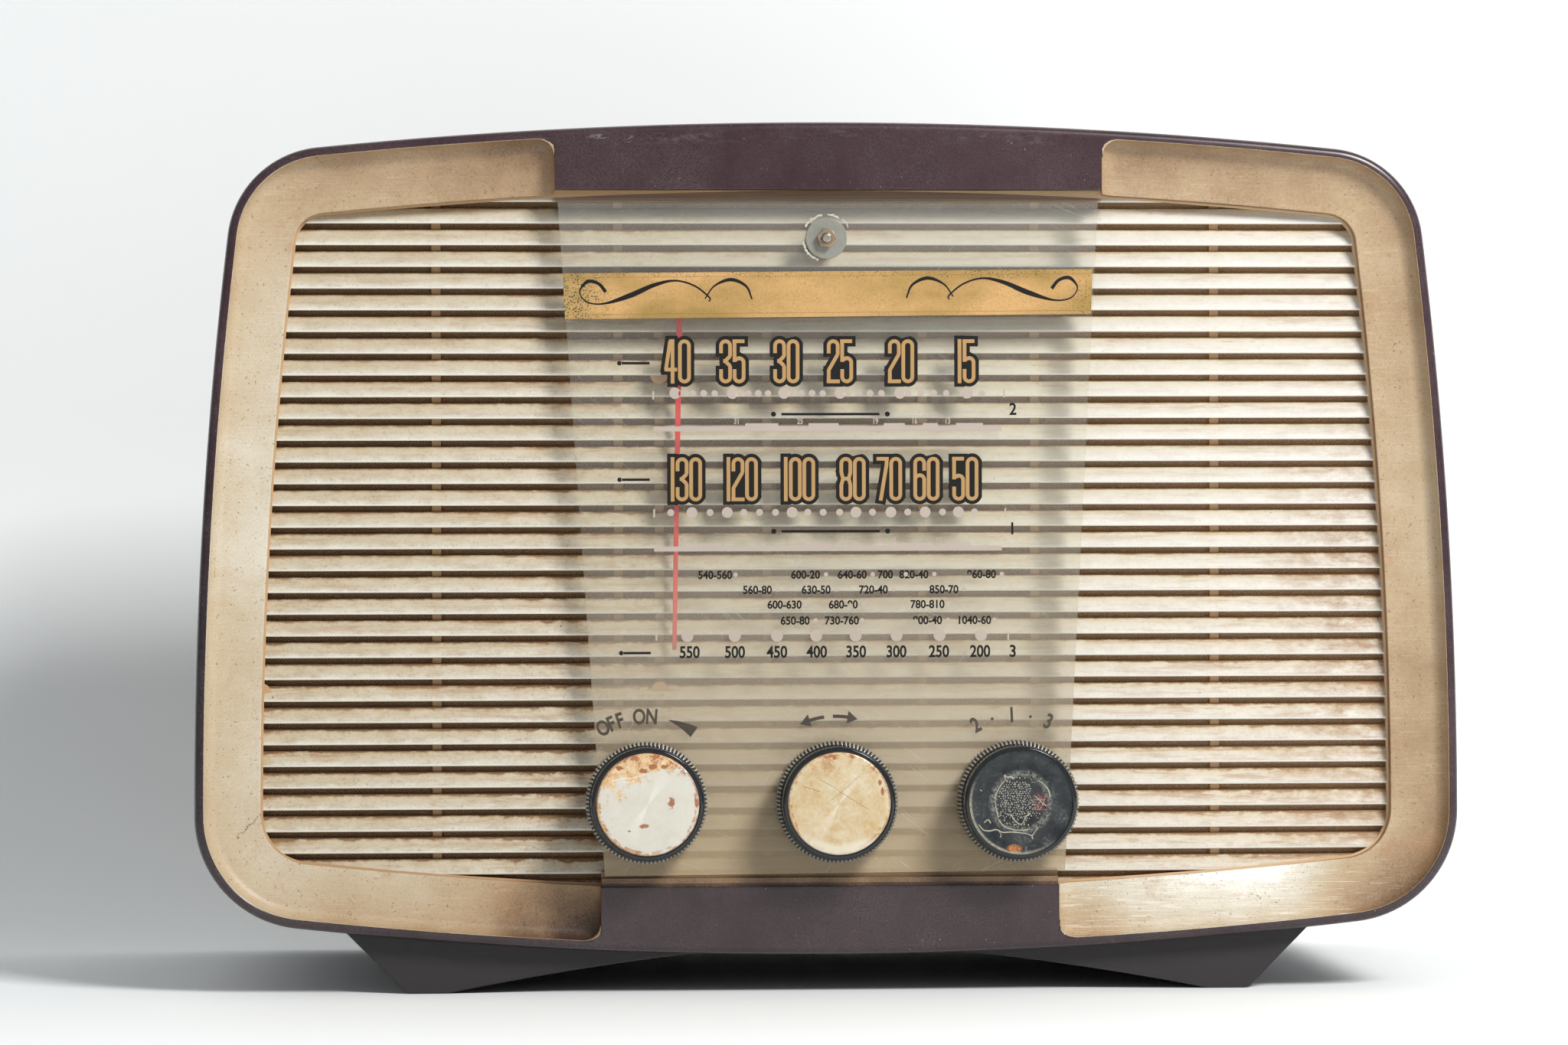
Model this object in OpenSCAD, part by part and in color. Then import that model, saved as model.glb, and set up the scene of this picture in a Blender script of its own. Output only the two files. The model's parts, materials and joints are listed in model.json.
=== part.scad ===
// Table valve radio in a moulded cabinet. Millimetres, +Z up, the front faces -Y.
// The origin is under the middle of the set, on the surface that the feet stand on.

/* [Cabinet] */
// Width of the cabinet across its widest line
cab_w = 420; // [412:1:430]
// Height of the cabinet moulding at its middle, without the feet
cab_h = 276.1; // [270:0.1:284]
// Depth of the cabinet from its rim to its back edge
cab_depth = 200; // [192:1:220]
// Thickness of the moulded walls
wall = 4; // [3:0.1:4.6]
// Height of the cabinet's lowest line above the floor
foot_h = 12.6; // [11:0.1:16]
// Radius of the bow of the top
top_bow_r = 1676; // [1400:2:2000]
// Radius of the bow of the bottom
bottom_bow_r = 1612; // [1400:2:2000]
// Radius of the bow of each side
side_bow_r = 1602; // [1400:2:2000]
// Height above the floor at which the sides stand upright
side_upright_z = 60; // [50:1:75]
// Radius of the two upper corners
corner_top_r = 33; // [29:0.5:37]
// Radius of the two lower corners
corner_bottom_r = 37.5; // [33:0.5:42]
// Narrowing of the cabinet's half-width from front to back
back_narrowing = 4.2; // [0:0.1:6]

/* [Front] */
// Width of the dark rim outside the troughs
rim_w = 3.3; // [2.6:0.1:4]
// Depth of the trough's floor behind the rim
trough_depth = 7; // [6:0.1:8]
// Distance from the side of the cabinet to the edge of the opening
lip_side = 21.6; // [20:0.1:24]
// Distance from the top of the cabinet to the edge of the opening
lip_top = 21.3; // [20:0.1:22.5]
// Distance from the bottom of the cabinet to the edge of the opening
lip_bottom = 21.1; // [19:0.1:22.5]
// Radius of the opening's upper corners
lip_top_r = 10.5; // [8:0.5:13]
// Radius of the opening's lower corners
lip_bottom_r = 16.5; // [13:0.5:20]
// Half-width of the dark band at the top
band_top_half = 90.7; // [86:0.1:96]
// Half-width of the dark band at the bottom
band_bottom_half = 76; // [72:0.5:82]
// Height of the top band, from the top of the cabinet down
band_top_h = 22.6; // [22:0.1:24]
// Height of the bottom band, from the bottom of the cabinet up
band_bottom_h = 22.8; // [22:0.1:24]
// Height of the ledge under the dial plate
ledge_h = 2.8; // [2:0.1:3.2]

/* [Louvres] */
// Distance from one slat to the next
slat_pitch = 7.2; // [6.8:0.1:7.6]
// Height of the open slot under each slat
slot_h = 1.9; // [1.6:0.1:2.3]
// Distance of the first slat's lower edge from the top of the cabinet
first_slat = 26.3; // [25:0.1:28]
// How far a slat leans back from its lower edge to its upper edge
slat_lean = 2.6; // [1.8:0.1:3]
// Thickness of a slat
slat_t = 1.5; // [1.2:0.1:1.8]

/* [Dial] */
// Thickness of the dial plate
plate_t = 2; // [1.5:0.1:2.4]
// Half-width of the dial plate at its top edge
plate_top_half = 89.9; // [84:0.1:92]
// Half-width of the dial plate at its bottom edge
plate_bottom_half = 76.4; // [72:0.1:82]
// Angle at which the plate hangs on its stud
plate_tilt = 0.45; // [0:0.05:0.6]
// Distance of the stud below the top of the cabinet
stud_drop = 38.8; // [36:0.2:42]
// Diameter of the washer under the nut
washer_d = 13.7; // [11:0.1:16]
// Way that the pointer travels from one end of the scale to the other
pointer_travel = 117; // [110:1:120]
// Distance of the pointer from the left end of its travel, at rest
pointer_rest = 9.2; // [0:0.1:30]
// Length of the pointer's blade
pointer_len = 124; // [110:1:130]
// Width of the pointer at its top
pointer_w = 2; // [1.4:0.1:2.6]

/* [Knobs] */
// Diameter of the knurled skirt of each knob
knob_d = 40; // [36:0.5:42]
// Length of each knob from back to front
knob_len = 16.5; // [14:0.5:20]
// Diameter of the disc let into the knob's face
disc_d = 34.4; // [31:0.2:35]
// Place of the volume knob to the left of the middle
volume_x = 61.2; // [58:0.1:64]
// Place of the tuning knob to the right of the middle
tuning_x = 1.7; // [0:0.1:4]
// Place of the wave-change knob to the right of the middle
band_x = 61.6; // [58:0.1:64]
// Height of the three spindles above the floor
control_z = 63.6; // [62:0.1:66]
// Diameter of the spindles
spindle_d = 6.3; // [6:0.1:6.4]
// Turn of the volume knob from off to full
volume_turn = 300; // [270:5:300]
// Turn of the wave-change knob from one position to the next
band_step_angle = 30; // [25:5:40]

/* [Chassis] */
// Width of the chassis
chassis_w = 330; // [316:2:340]
// Distance of the chassis back ahead of the back cover
chassis_back_gap = 14.2; // [12:0.1:17]
// Height of the chassis
chassis_h = 54; // [52:0.5:56]
// Height of the chassis above the floor
chassis_z = 34; // [32.5:0.5:35]
// Thickness of the chassis sheet
sheet_t = 1.2; // [1:0.1:1.6]
// Distance of the chassis front behind the rim
chassis_front = 40; // [40:0.5:42]
// Diameter of the bolts through the feet
bolt_d = 4; // [3.5:0.1:5]
// Distance of the bolts from the middle
bolt_x = 110; // [104:1:116]

/* [Tuning capacitor] */
// Radius of the rotor's vanes
vane_r = 20; // [18:0.5:21]
// Number of rotor vanes in each section
vane_n = 7; // [5:1:8]
// Distance from one rotor vane to the next
vane_pitch = 2.6; // [2.4:0.1:2.7]
// Thickness of a vane
vane_t = 0.6; // [0.5:0.05:0.7]
// Place of the tuning capacitor to the right of the middle
gang_x = 22; // [18:0.5:26]
// Height of its shaft above the chassis
gang_shaft_h = 29; // [28:0.5:31]

/* [Speaker] */
// Diameter of the loudspeaker
speaker_d = 140; // [130:1:144]
// Depth of the loudspeaker from its rim to the back of its magnet
speaker_depth = 64; // [58:1:70]
// Distance of the loudspeaker's middle from the cabinet's side
speaker_side_gap = 88; // [85:0.5:92]
// Height of the loudspeaker above the floor
speaker_z = 158; // [155:1:162]
// Diameter of the magnet
magnet_d = 52; // [44:1:60]

/* [Valves] */
// Diameter of the valves' glass
valve_d = 22; // [19:0.5:24]
// Height of the valves above their holders
valve_h = 62; // [54:1:70]

/* [Hidden] */
$fn = 48;

// Fixings and clearances
screw_r = 1.4;
run_clear = 0.05;
seat_clear = 0.1;
loose_clear = 0.4;
joint_clear = 0.3;

// Cabinet outline: centres of the four big bows
half_w = cab_w / 2;
top_z = foot_h + cab_h;
top_c = [0, top_z - top_bow_r];
bottom_c = [0, foot_h + bottom_bow_r];
side_c = [half_w - side_bow_r, side_upright_z];

// Cabinet sections: depths behind the rim
lip_back = trough_depth + 3.5;
rebate_depth = 4;
rebate_w = 2;
rebate_y = cab_depth - rebate_depth;
arm_end_r = 6;
arm_end_steps = [0, 1.2, 3.2, arm_end_r];
band_step = 0.3;
corner_n = 6;
side_n = 6;
arm_n = 3;
no_end = 99;

// Louvre panel
panel_front = lip_back + seat_clear;
ring_t = 2.5;
ring_margin = 4;
rib_back = panel_front + 5.4;
first_slat_z = top_z - first_slat;
opening_bottom_z = foot_h + band_bottom_h;
slat_count = ceil((first_slat_z - opening_bottom_z) / slat_pitch) + 1;
rib_w = 3;
rail_slot = 4;
tongue_w = 8;
tongue_t = 0.8;
tongue_z = first_slat_z - slat_pitch * rail_slot - slot_h / 2;
boss_r = 8;
boss_bore_r = 5;

// Dial plate
plate_y = 1;
plate_back = plate_y + plate_t;
plate_top_z = top_z - band_top_h - 1;
ledge_z = opening_bottom_z + ledge_h;
plate_bottom_z = ledge_z + 1.4;
stud_x = -1;
stud_z = top_z - stud_drop;
stud_r = 1.55;
washer_t = 0.8;
nut_h = 2.4;
nut_across = 5.7;
front_clear = 2;

// Knobs and spindles
knob_back = plate_y - front_clear;
knob_front = knob_back - knob_len;
spindle_r = spindle_d / 2;
spindle_tip = knob_front + 4;
bush_r = 4.7;
nut_front = chassis_front - 3.4;
disc_t = 1;
disc_sink = 1.2;
control_xs = [-volume_x, tuning_x, band_x];
frame_y = -(cab_depth + knob_front) / 2;

// Cloth, board and loudspeaker behind the panel
cloth_t = 0.5;
cloth_y = rib_back + 0.05;
board_y = cloth_y + cloth_t + 0.05;
board_t = 5;
board_back = board_y + board_t;
board_right = -50;
board_left = 17 - half_w;
board_bottom = 86;
board_top = 236;
board_screw_places = [[board_left + 5, 100], [board_right - 6, 100], [board_left + 8, 205], [board_right - 6, 205]];
speaker_x = half_w - speaker_side_gap;
speaker_r = speaker_d / 2;
speaker_rim_t = 2;
speaker_back = board_back + speaker_rim_t;
magnet_h = 22;
magnet_y = board_back + speaker_depth - magnet_h;
cone_r = speaker_r - 9;
coil_r = 12;

// Cord drive
cord_r = 0.4;
cord_clear = 0.15;
cord_y = board_back + 3.4;
belt_y = cord_y + 4;
pulley_r = 5.4;
pulley_pin_r = 1.5;
carriage_half = 5;
ear_x = pointer_travel / 2 + carriage_half + joint_clear + sheet_t / 2;
pulley_rim_r = pulley_r + 1.2;
pulley_x = ear_x + sheet_t / 2 + 0.8 + pulley_rim_r;
pulley_z = tongue_z;
pulley_cord_r = pulley_r + cord_clear + cord_r;
run_z = pulley_z + pulley_cord_r;
drum_cord_r = pointer_travel / PI;
drum_r = drum_cord_r - cord_clear - cord_r;
drum_z = chassis_z + chassis_h + gang_shaft_h;
drum_front = cord_y - 2;
drum_back = belt_y + 2;
belt_spindle_r = spindle_r + cord_clear + cord_r;
rail_y = board_back + 0.3;
rail_r = 1.5;
bracket_y = belt_y + 2.6;
bracket_half = 82;
lamp_x = 45;
lamp_r = 5;
lamp_bush_r = 4.5;
pointer_y = (plate_back + panel_front) / 2 - 0.4;
pointer_x = -pointer_travel / 2 + pointer_rest;
rest_turn = pointer_rest / drum_cord_r * 180 / PI;

// Chassis and what stands on it
cover_t = 3;
cover_y = rebate_y + 0.2;
chassis_back = cover_y - chassis_back_gap;
chassis_top = chassis_z + chassis_h;
flange_w = 16;
bolt_ys = [chassis_front + 10, chassis_back - 10];
gang_front = chassis_front + 6;
gang_pack_gap = 9;
gang_pack = (vane_n + 1) * vane_pitch;
gang_len = 2 * gang_pack + gang_pack_gap + 9;
gang_half = vane_r + 5;
holder_h = 3;
front_row_y = chassis_front + 32;
back_row_y = chassis_back - 22;
middle_row_y = (front_row_y + back_row_y) / 2 + 2;
valve_places = [[80, middle_row_y], [126, front_row_y + 6], [80, back_row_y], [24, back_row_y - 4], [-67, back_row_y]];
can_places = [[80, front_row_y], [126, middle_row_y + 4]];
can_w = 32;
can_h = 65;
mains_place = [-122, chassis_back - 40];
output_place = [-22, chassis_back - 26];
smoothing_place = [-60, middle_row_y - 6];

// Back
cover_inset = wall - rebate_w + loose_clear;
socket_x = 76;
socket_gap = 20;
socket_z = chassis_z + 26;
socket_bore_r = 2.05;
lead_x = -96;
lead_bore_r = 3.5;

// Helpers
module place() {
    translate([0, frame_y, 0]) children();
}
module rod_y(x, z, y1, y2, r) {
    translate([x, y1, z]) rotate([-90, 0, 0]) cylinder(h = y2 - y1, r = r);
}
module slab_y(y1, y2) {
    translate([0, y2, 0]) rotate([90, 0, 0]) linear_extrude(y2 - y1) children();
}
module box(x1, x2, y1, y2, z1, z2) {
    translate([x1, y1, z1]) cube([x2 - x1, y2 - y1, z2 - z1]);
}
module screw_y(x, z, head_y, len, r, head_h) {
    rod_y(x, z, head_y - len, head_y + 0.01, r);
    rod_y(x, z, head_y, head_y + head_h, r * 1.9);
}

// Where two circles meet, on the side of larger x
function meet(c1, r1, c2, r2) =
    let (d = norm(c2 - c1), e = (c2 - c1) / d, a = (r1 * r1 - r2 * r2 + d * d) / (2 * d),
         h = sqrt(r1 * r1 - a * a), p = c1 + a * e, n = [-e[1], e[0]])
    (p + h * n)[0] > (p - h * n)[0] ? p + h * n : p - h * n;
function angle_of(v) = atan2(v[1], v[0]);
function polar(c, r, a) = c + r * [cos(a), sin(a)];
function arc_z(c, r, x, side) = c[1] + side * sqrt(r * r - x * x);
function side_x(z, t) = side_c[0] + sqrt(pow(side_bow_r - t, 2) - pow(z - side_c[1], 2));
function top_at(x, t) = arc_z(top_c, top_bow_r - t, x, 1);
function bottom_at(x, t) = arc_z(bottom_c, bottom_bow_r - t, x, -1);

// How far a trough's outer edge draws in near its rounded end
function end_cut(d, end_r) =
    end_r == 0 || d >= end_r ? 0 : rim_w + end_r - sqrt(end_r * end_r - pow(end_r - d, 2));

// Right half of an outline that lies t inside the cabinet's, from the top middle to the bottom middle.
// Each entry is [x, z, distance past the band's end, 1 for the upper half or -1 for the lower].
function half_outline(t_side, t_top, t_bottom, r_top, r_bottom, end_r = 0) =
    let (rt = top_bow_r - t_top, rb = bottom_bow_r - t_bottom, rs = side_bow_r - t_side,
         kt = meet(top_c, rt - r_top, side_c, rs - r_top),
         kb = meet(bottom_c, rb - r_bottom, side_c, rs - r_bottom),
         a1 = angle_of(kt - top_c), a2 = angle_of(kt - side_c),
         b1 = angle_of(kb - side_c), b2 = angle_of(kb - bottom_c),
         tx = polar(kt, r_top, a1)[0], bx = polar(kb, r_bottom, b2)[0],
         st = polar(kt, r_top, a2), sb = polar(kb, r_bottom, b1),
         t0 = band_top_half + band_step, b0 = band_bottom_half + band_step)
    concat(
        [for (k = [0, 0.5, 1]) [k * band_top_half, arc_z(top_c, rt, k * band_top_half, 1), -1, 1]],
        [for (d = arm_end_steps)
            [t0 + d, arc_z(top_c, rt - max(0, end_cut(d, end_r) - t_top), t0 + d, 1), d, 1]],
        [for (i = [1 : arm_n]) let (x = t0 + arm_end_r + (tx - t0 - arm_end_r) * i / (arm_n + 1))
            [x, arc_z(top_c, rt, x, 1), no_end, 1]],
        [for (i = [0 : corner_n]) let (p = polar(kt, r_top, a1 + (a2 - a1) * i / corner_n))
            [p[0], p[1], no_end, 1]],
        [for (i = [1 : side_n]) let (z = st[1] + (sb[1] - st[1]) * i / (side_n + 1))
            [side_c[0] + sqrt(rs * rs - pow(z - side_c[1], 2)), z, no_end, 1]],
        [for (i = [0 : corner_n]) let (p = polar(kb, r_bottom, b1 + (b2 - b1) * i / corner_n))
            [p[0], p[1], no_end, -1]],
        [for (i = [1 : arm_n]) let (x = bx + (b0 + arm_end_r - bx) * i / (arm_n + 1))
            [x, arc_z(bottom_c, rb, x, -1), no_end, -1]],
        [for (k = [len(arm_end_steps) - 1 : -1 : 0]) let (d = arm_end_steps[k])
            [b0 + d, arc_z(bottom_c, rb - max(0, end_cut(d, end_r) - t_bottom), b0 + d, -1), d, -1]],
        [for (k = [1, 0.5, 0]) [k * band_bottom_half, arc_z(bottom_c, rb, k * band_bottom_half, -1), -1, -1]]);
function both_halves(h) =
    concat(h, [for (i = [len(h) - 2 : -1 : 1]) [-h[i][0], h[i][1], h[i][2], h[i][3]]]);

// A point of the outline at depth y: the cabinet narrows to the back, and its bottom stays on one bow
function draw_in(y) = 1 - back_narrowing / half_w * y / cab_depth;
function at_depth(p, y) = [p[0] * draw_in(y), y, foot_h + (p[1] - foot_h) * pow(draw_in(y), 2)];
function flat_outline(t, y, t_top = -1, t_bottom = -1, r_top = -1, r_bottom = -1) =
    [for (p = both_halves(half_outline(t, t_top < 0 ? t : t_top, t_bottom < 0 ? t : t_bottom,
                                       r_top < 0 ? corner_top_r - t : r_top,
                                       r_bottom < 0 ? corner_bottom_r - t : r_bottom)))
        let (q = at_depth(p, y)) [q[0], q[2]]];
function lip_outline(grow, y) =
    flat_outline(lip_side - grow, y, lip_top - grow, lip_bottom - grow, lip_top_r + grow, lip_bottom_r + grow);

// Rings of the cabinet's skin, from its back edge round the rim and the trough and back along the inside
function plain_ring(t, y, band_y) =
    [for (p = both_halves(half_outline(t, t, t, corner_top_r - t, corner_bottom_r - t)))
        at_depth(p, p[2] < 0 ? band_y : y)];
function end_fillet(d) =
    d >= arm_end_r ? 1
    : 1 - (arm_end_r - sqrt(arm_end_r * arm_end_r - pow(arm_end_r - d, 2))) * 0.8 / trough_depth;
function between(a, b, u) = a + (b - a) * u;
function trough_ring(u, depth, band_y) =
    [for (p = both_halves(half_outline(between(rim_w, lip_side, u), between(rim_w, lip_top, u),
                                       between(rim_w, lip_bottom, u),
                                       between(corner_top_r - rim_w, lip_top_r, u),
                                       between(corner_bottom_r - rim_w, lip_bottom_r, u), arm_end_r)))
        at_depth(u < 0.9 || p[2] >= 0 ? p : [p[0], p[3] > 0 ? top_z - band_top_h : opening_bottom_z],
                 p[2] < 0 ? band_y : depth * end_fillet(p[2]))];
cabinet_rings = [
    plain_ring(0, cab_depth, cab_depth),
    plain_ring(0, cab_depth / 2, cab_depth / 2),
    plain_ring(0, 3, 3),
    plain_ring(0.45, 1.1, 1.1),
    plain_ring(1.7, 0.15, 0.15),
    plain_ring(rim_w - 0.4, 0, 0),
    trough_ring(0, 0.5, 0),
    trough_ring(0.06, trough_depth * 0.45, 0),
    trough_ring(0.22, trough_depth * 0.78, 0),
    trough_ring(0.5, trough_depth * 0.93, 0),
    trough_ring(0.97, trough_depth, 0),
    trough_ring(1, trough_depth + 0.4, 0.6),
    trough_ring(1, lip_back, wall),
    plain_ring(wall + 2.5, lip_back, wall),
    plain_ring(wall, lip_back + 3, lip_back + 3),
    plain_ring(wall, rebate_y, rebate_y),
    plain_ring(wall - rebate_w, rebate_y, rebate_y),
    plain_ring(wall - rebate_w, cab_depth, cab_depth)];

// A closed skin through rings of equal length; the last ring joins the first
module ring_solid(rings) {
    n = len(rings[0]);
    m = len(rings);
    polyhedron([for (r = rings) each r],
        [for (j = [0 : m - 1]) for (i = [0 : n - 1]) for (k = [0, 1])
            let (a = j * n + i, b = j * n + (i + 1) % n,
                 c = ((j + 1) % m) * n + (i + 1) % n, d = ((j + 1) % m) * n + i)
            k == 0 ? [a, b, c] : [a, c, d]]);
}

// Bosses that the cabinet is moulded with
cover_boss_r = 6;
cover_screw_r = 1.5;
cover_boss_len = 22;
cover_screw_len = 12;
function cover_side(z) = at_depth([side_x(z, wall) - 4, z], rebate_y);
cover_bosses = [for (z = [60, 215], s = [-1, 1]) [s * cover_side(z)[0], cover_side(z)[2]]];
bracket_boss_x = 75;
bracket_boss_r = 4;
bracket_top = foot_h + (top_at(bracket_half, wall) - foot_h) * pow(draw_in(bracket_y), 2) - 1;
bracket_boss_z = bracket_top - 5;
module cabinet() {
    color([0.2, 0.1, 0.12]) place() difference() {
        union() {
            ring_solid(cabinet_rings);
            box(-band_bottom_half - 2, band_bottom_half + 2, plate_y + 0.2, lip_back,
                opening_bottom_z - 3, ledge_z);
            for (x = [-bolt_x, bolt_x], y = bolt_ys)
                translate([x, y, bottom_at(x, wall) - 1.5]) cylinder(h = chassis_z - bottom_at(x, wall) + 1.5, r = 8);
            for (x = [-bracket_boss_x, bracket_boss_x])
                rod_y(x, bracket_boss_z, wall - 1, bracket_y, bracket_boss_r);
            for (p = cover_bosses)
                rod_y(p[0], p[1], rebate_y - cover_boss_len, rebate_y, cover_boss_r);
        }
        for (x = [-bolt_x, bolt_x], y = bolt_ys)
            translate([x, y, 0]) cylinder(h = chassis_z + 1, r = bolt_d / 2 + loose_clear);
        for (x = [-bracket_boss_x, bracket_boss_x])
            rod_y(x, bracket_boss_z, bracket_y - 12, bracket_y + 1, screw_r + run_clear);
        for (p = panel_screw_places)
            rod_y(p[0], p[1], panel_front - 2.6, panel_front + 1, screw_r + run_clear);
        for (p = cover_bosses)
            rod_y(p[0], p[1], rebate_y - cover_screw_len - 2, rebate_y + 1, cover_screw_r);
    }
}

// Louvre panel: a ring behind the lip, slats across it, ribs and bosses behind the slats
slat_face = slat_pitch - slot_h;
slat_section = [[panel_front + 0.4, 0], [panel_front, 0.45], [panel_front + 0.15, 1.1],
    [panel_front + slat_lean, slat_face], [panel_front + slat_lean + slat_t, slat_face],
    [panel_front + 0.8 + slat_t, 0]];
panel_top_z = [for (x = [-120, 120]) [x, top_at(x, lip_top - ring_margin / 2 - 0.3)]];
panel_bottom_z = [for (x = [-120, 120]) [x, bottom_at(x, lip_bottom - ring_margin / 2 - 0.3)]];
panel_sides = [for (z = [110, 200], s = [-1, 1]) [s * side_x(z, lip_side - ring_margin / 2 - 0.3), z]];
panel_screw_places = concat(panel_top_z, panel_bottom_z, panel_sides);
tongue_reach = pointer_travel / 2 + tongue_w / 2 + 1;
module louvre_panel() {
    color([0.84, 0.77, 0.64]) place() difference() {
        union() {
            slab_y(panel_front, panel_front + ring_t) difference() {
                polygon(lip_outline(ring_margin, panel_front));
                polygon(lip_outline(-0.6, panel_front));
            }
            intersection() {
                for (k = [0 : slat_count - 1])
                    translate([-half_w, 0, first_slat_z - slat_pitch * k])
                        rotate([90, 0, 90]) linear_extrude(cab_w) polygon(slat_section);
                slab_y(panel_front - 1, rib_back) polygon(lip_outline(1, panel_front));
            }
            intersection() {
                for (x = [80 - half_w, board_right - 6, -control_xs[2] - 8, control_xs[2] + 8, half_w - 80])
                    box(x - rib_w / 2, x + rib_w / 2, panel_front + 2.2, rib_back, 0, top_z);
                slab_y(panel_front, rib_back) polygon(lip_outline(1, panel_front));
            }
            for (x = [-20, 32])
                box(x - rib_w / 2, x + rib_w / 2, panel_front + 2.2, rib_back, opening_bottom_z + 1, tongue_z - 8);
            for (x = control_xs)
                rod_y(x, control_z, plate_back + 0.2, rib_back, boss_r);
            rod_y(stud_x, stud_z, plate_back + 0.1, rib_back, boss_r - 3);
            for (p = board_screw_places)
                rod_y(p[0], p[1], panel_front + 1, rib_back, 3);
        }
        box(-tongue_reach, tongue_reach, panel_front - 1, rib_back + 1, tongue_z - slot_h / 2 + 0.05,
            tongue_z + slot_h / 2 - 0.05);
        for (p = board_screw_places)
            rod_y(p[0], p[1], rib_back - 4.4, rib_back + 1, screw_r + run_clear);
        for (x = control_xs)
            rod_y(x, control_z, plate_back - 1, rib_back + 1, boss_bore_r);
        rod_y(stud_x, stud_z, plate_back - 1, rib_back - 2, stud_r + run_clear);
        for (p = panel_screw_places) {
            rod_y(p[0], p[1], panel_front - 1, panel_front + ring_t + 4, screw_r + 0.1);
            rod_y(p[0], p[1], panel_front + ring_t, rib_back + 1, screw_r * 1.9 + 0.2);
        }
    }
}
module panel_screws() {
    color([0.6, 0.58, 0.5]) place() {
        for (p = panel_screw_places)
            screw_y(p[0], p[1], panel_front + ring_t, ring_t + 2.4, screw_r, 1.5);
        for (x = [-bracket_boss_x, bracket_boss_x])
            screw_y(x, bracket_boss_z, bracket_y + sheet_t, 10, screw_r, 1.5);
        for (p = board_screw_places)
            screw_y(p[0], p[1], board_back, board_t + 3, screw_r, 1.5);
    }
}

// Feet: wedges whose upper faces follow the bow of the cabinet's bottom
foot_front = 8;
foot_len = cab_depth - 23;
foot_out_top = half_w - 49.5;
foot_out_base = half_w - 71.5;
foot_in_base = half_w - 82.7;
foot_in_top = 42;
foot_corner_r = 4;
bolt_head_r = 4;
bolt_head_h = 3;
bolt_seat_z = 9;
foot_slope_n = 6;
foot_top_n = 8;
foot_seat = 0.02;
function foot_top(x) = bottom_at(x, 0) - foot_seat;
module right_foot_shape() {
    in_z = foot_top(foot_in_top);
    corner_a = atan2(foot_top(foot_out_top) - foot_corner_r, foot_out_top - foot_out_base);
    difference() {
        slab_y(foot_front, foot_front + foot_len) polygon(concat(
            [for (i = [0 : 3]) polar([foot_out_base, foot_corner_r], foot_corner_r, -90 + corner_a * i / 3)],
            [for (i = [0 : foot_top_n]) let (x = between(foot_out_top, foot_in_top, i / foot_top_n))
                [x, foot_top(x)]],
            [for (i = [1 : foot_slope_n - 1]) let (u = 1 - i / foot_slope_n)
                [between(foot_in_base, foot_in_top, u), in_z * u * (1.3 - 0.3 * u)]],
            [[foot_in_base, 0]]));
        for (y = bolt_ys) {
            translate([bolt_x, y, -1]) cylinder(h = bolt_seat_z + 1, r = bolt_head_r + 1);
            translate([bolt_x, y, 0]) cylinder(h = foot_h + 12, r = bolt_d / 2 + loose_clear);
        }
    }
}
module right_foot() {
    color([0.17, 0.15, 0.16]) place() right_foot_shape();
}
module left_foot() {
    color([0.17, 0.15, 0.16]) place() mirror([1, 0, 0]) right_foot_shape();
}

// Dial plate and its fixing
module dial_plate() {
    color([0.85, 0.86, 0.8, 0.4]) place() slab_y(plate_y, plate_back)
        translate([stud_x, stud_z]) rotate(plate_tilt) translate([-stud_x, -stud_z]) difference() {
            polygon([[-plate_bottom_half, plate_bottom_z], [plate_bottom_half, plate_bottom_z],
                [plate_top_half, plate_top_z], [-plate_top_half, plate_top_z]]);
            for (x = control_xs)
                translate([x, control_z]) circle(r = boss_r - 1);
            translate([stud_x, stud_z]) circle(r = stud_r + run_clear * 2);
        }
}
module dial_stud() {
    color([0.55, 0.5, 0.42]) place() rod_y(stud_x, stud_z, plate_y - washer_t - nut_h - 1.4, rib_back - 2.2, stud_r);
}
module dial_washer() {
    color([0.8, 0.8, 0.74]) place() difference() {
        rod_y(stud_x, stud_z, plate_y - washer_t, plate_y, washer_d / 2);
        rod_y(stud_x, stud_z, plate_y - washer_t - 1, plate_y + 1, stud_r + run_clear);
    }
}
module dial_nut() {
    color([0.6, 0.5, 0.34]) place() difference() {
        translate([stud_x, plate_y - washer_t - nut_h, stud_z]) rotate([-90, 12, 0])
            cylinder(h = nut_h, d = nut_across / cos(30), $fn = 6);
        rod_y(stud_x, stud_z, plate_y - washer_t - nut_h - 1, plate_y, stud_r + run_clear);
    }
}

// Pointer, its carriage and the rail
pointer_lean = 1;
carriage_front = rail_y - 3.2;
module pointer() {
    top = tongue_z + 5;
    color([0.8, 0.16, 0.14]) place() union() {
        slab_y(pointer_y, pointer_y + 0.8) translate([pointer_x, tongue_z]) rotate(-pointer_lean)
            polygon([[-pointer_w / 2, top - tongue_z], [pointer_w / 2, top - tongue_z],
                [pointer_w / 2 - 0.3, top - tongue_z - pointer_len],
                [0.3 - pointer_w / 2, top - tongue_z - pointer_len]]);
        box(pointer_x - tongue_w / 2, pointer_x + tongue_w / 2, pointer_y, carriage_front,
            tongue_z - tongue_t / 2, tongue_z + tongue_t / 2);
    }
}
module pointer_carriage() {
    color([0.62, 0.62, 0.6]) place() difference() {
        union() {
            box(pointer_x - carriage_half, pointer_x + carriage_half, carriage_front, rail_y + 3.2, tongue_z - 3.6, tongue_z + 3.6);
            box(pointer_x - 4, pointer_x + 4, cord_y - 1.6, cord_y + 1.6, tongue_z + 3, run_z + 1.8);
        }
        translate([pointer_x - 7, rail_y, tongue_z]) rotate([0, 90, 0]) cylinder(h = 14, r = rail_r + run_clear);
        translate([pointer_x - 7, cord_y, run_z]) rotate([0, 90, 0]) cylinder(h = 14, r = cord_r + joint_clear);
    }
}
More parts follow.
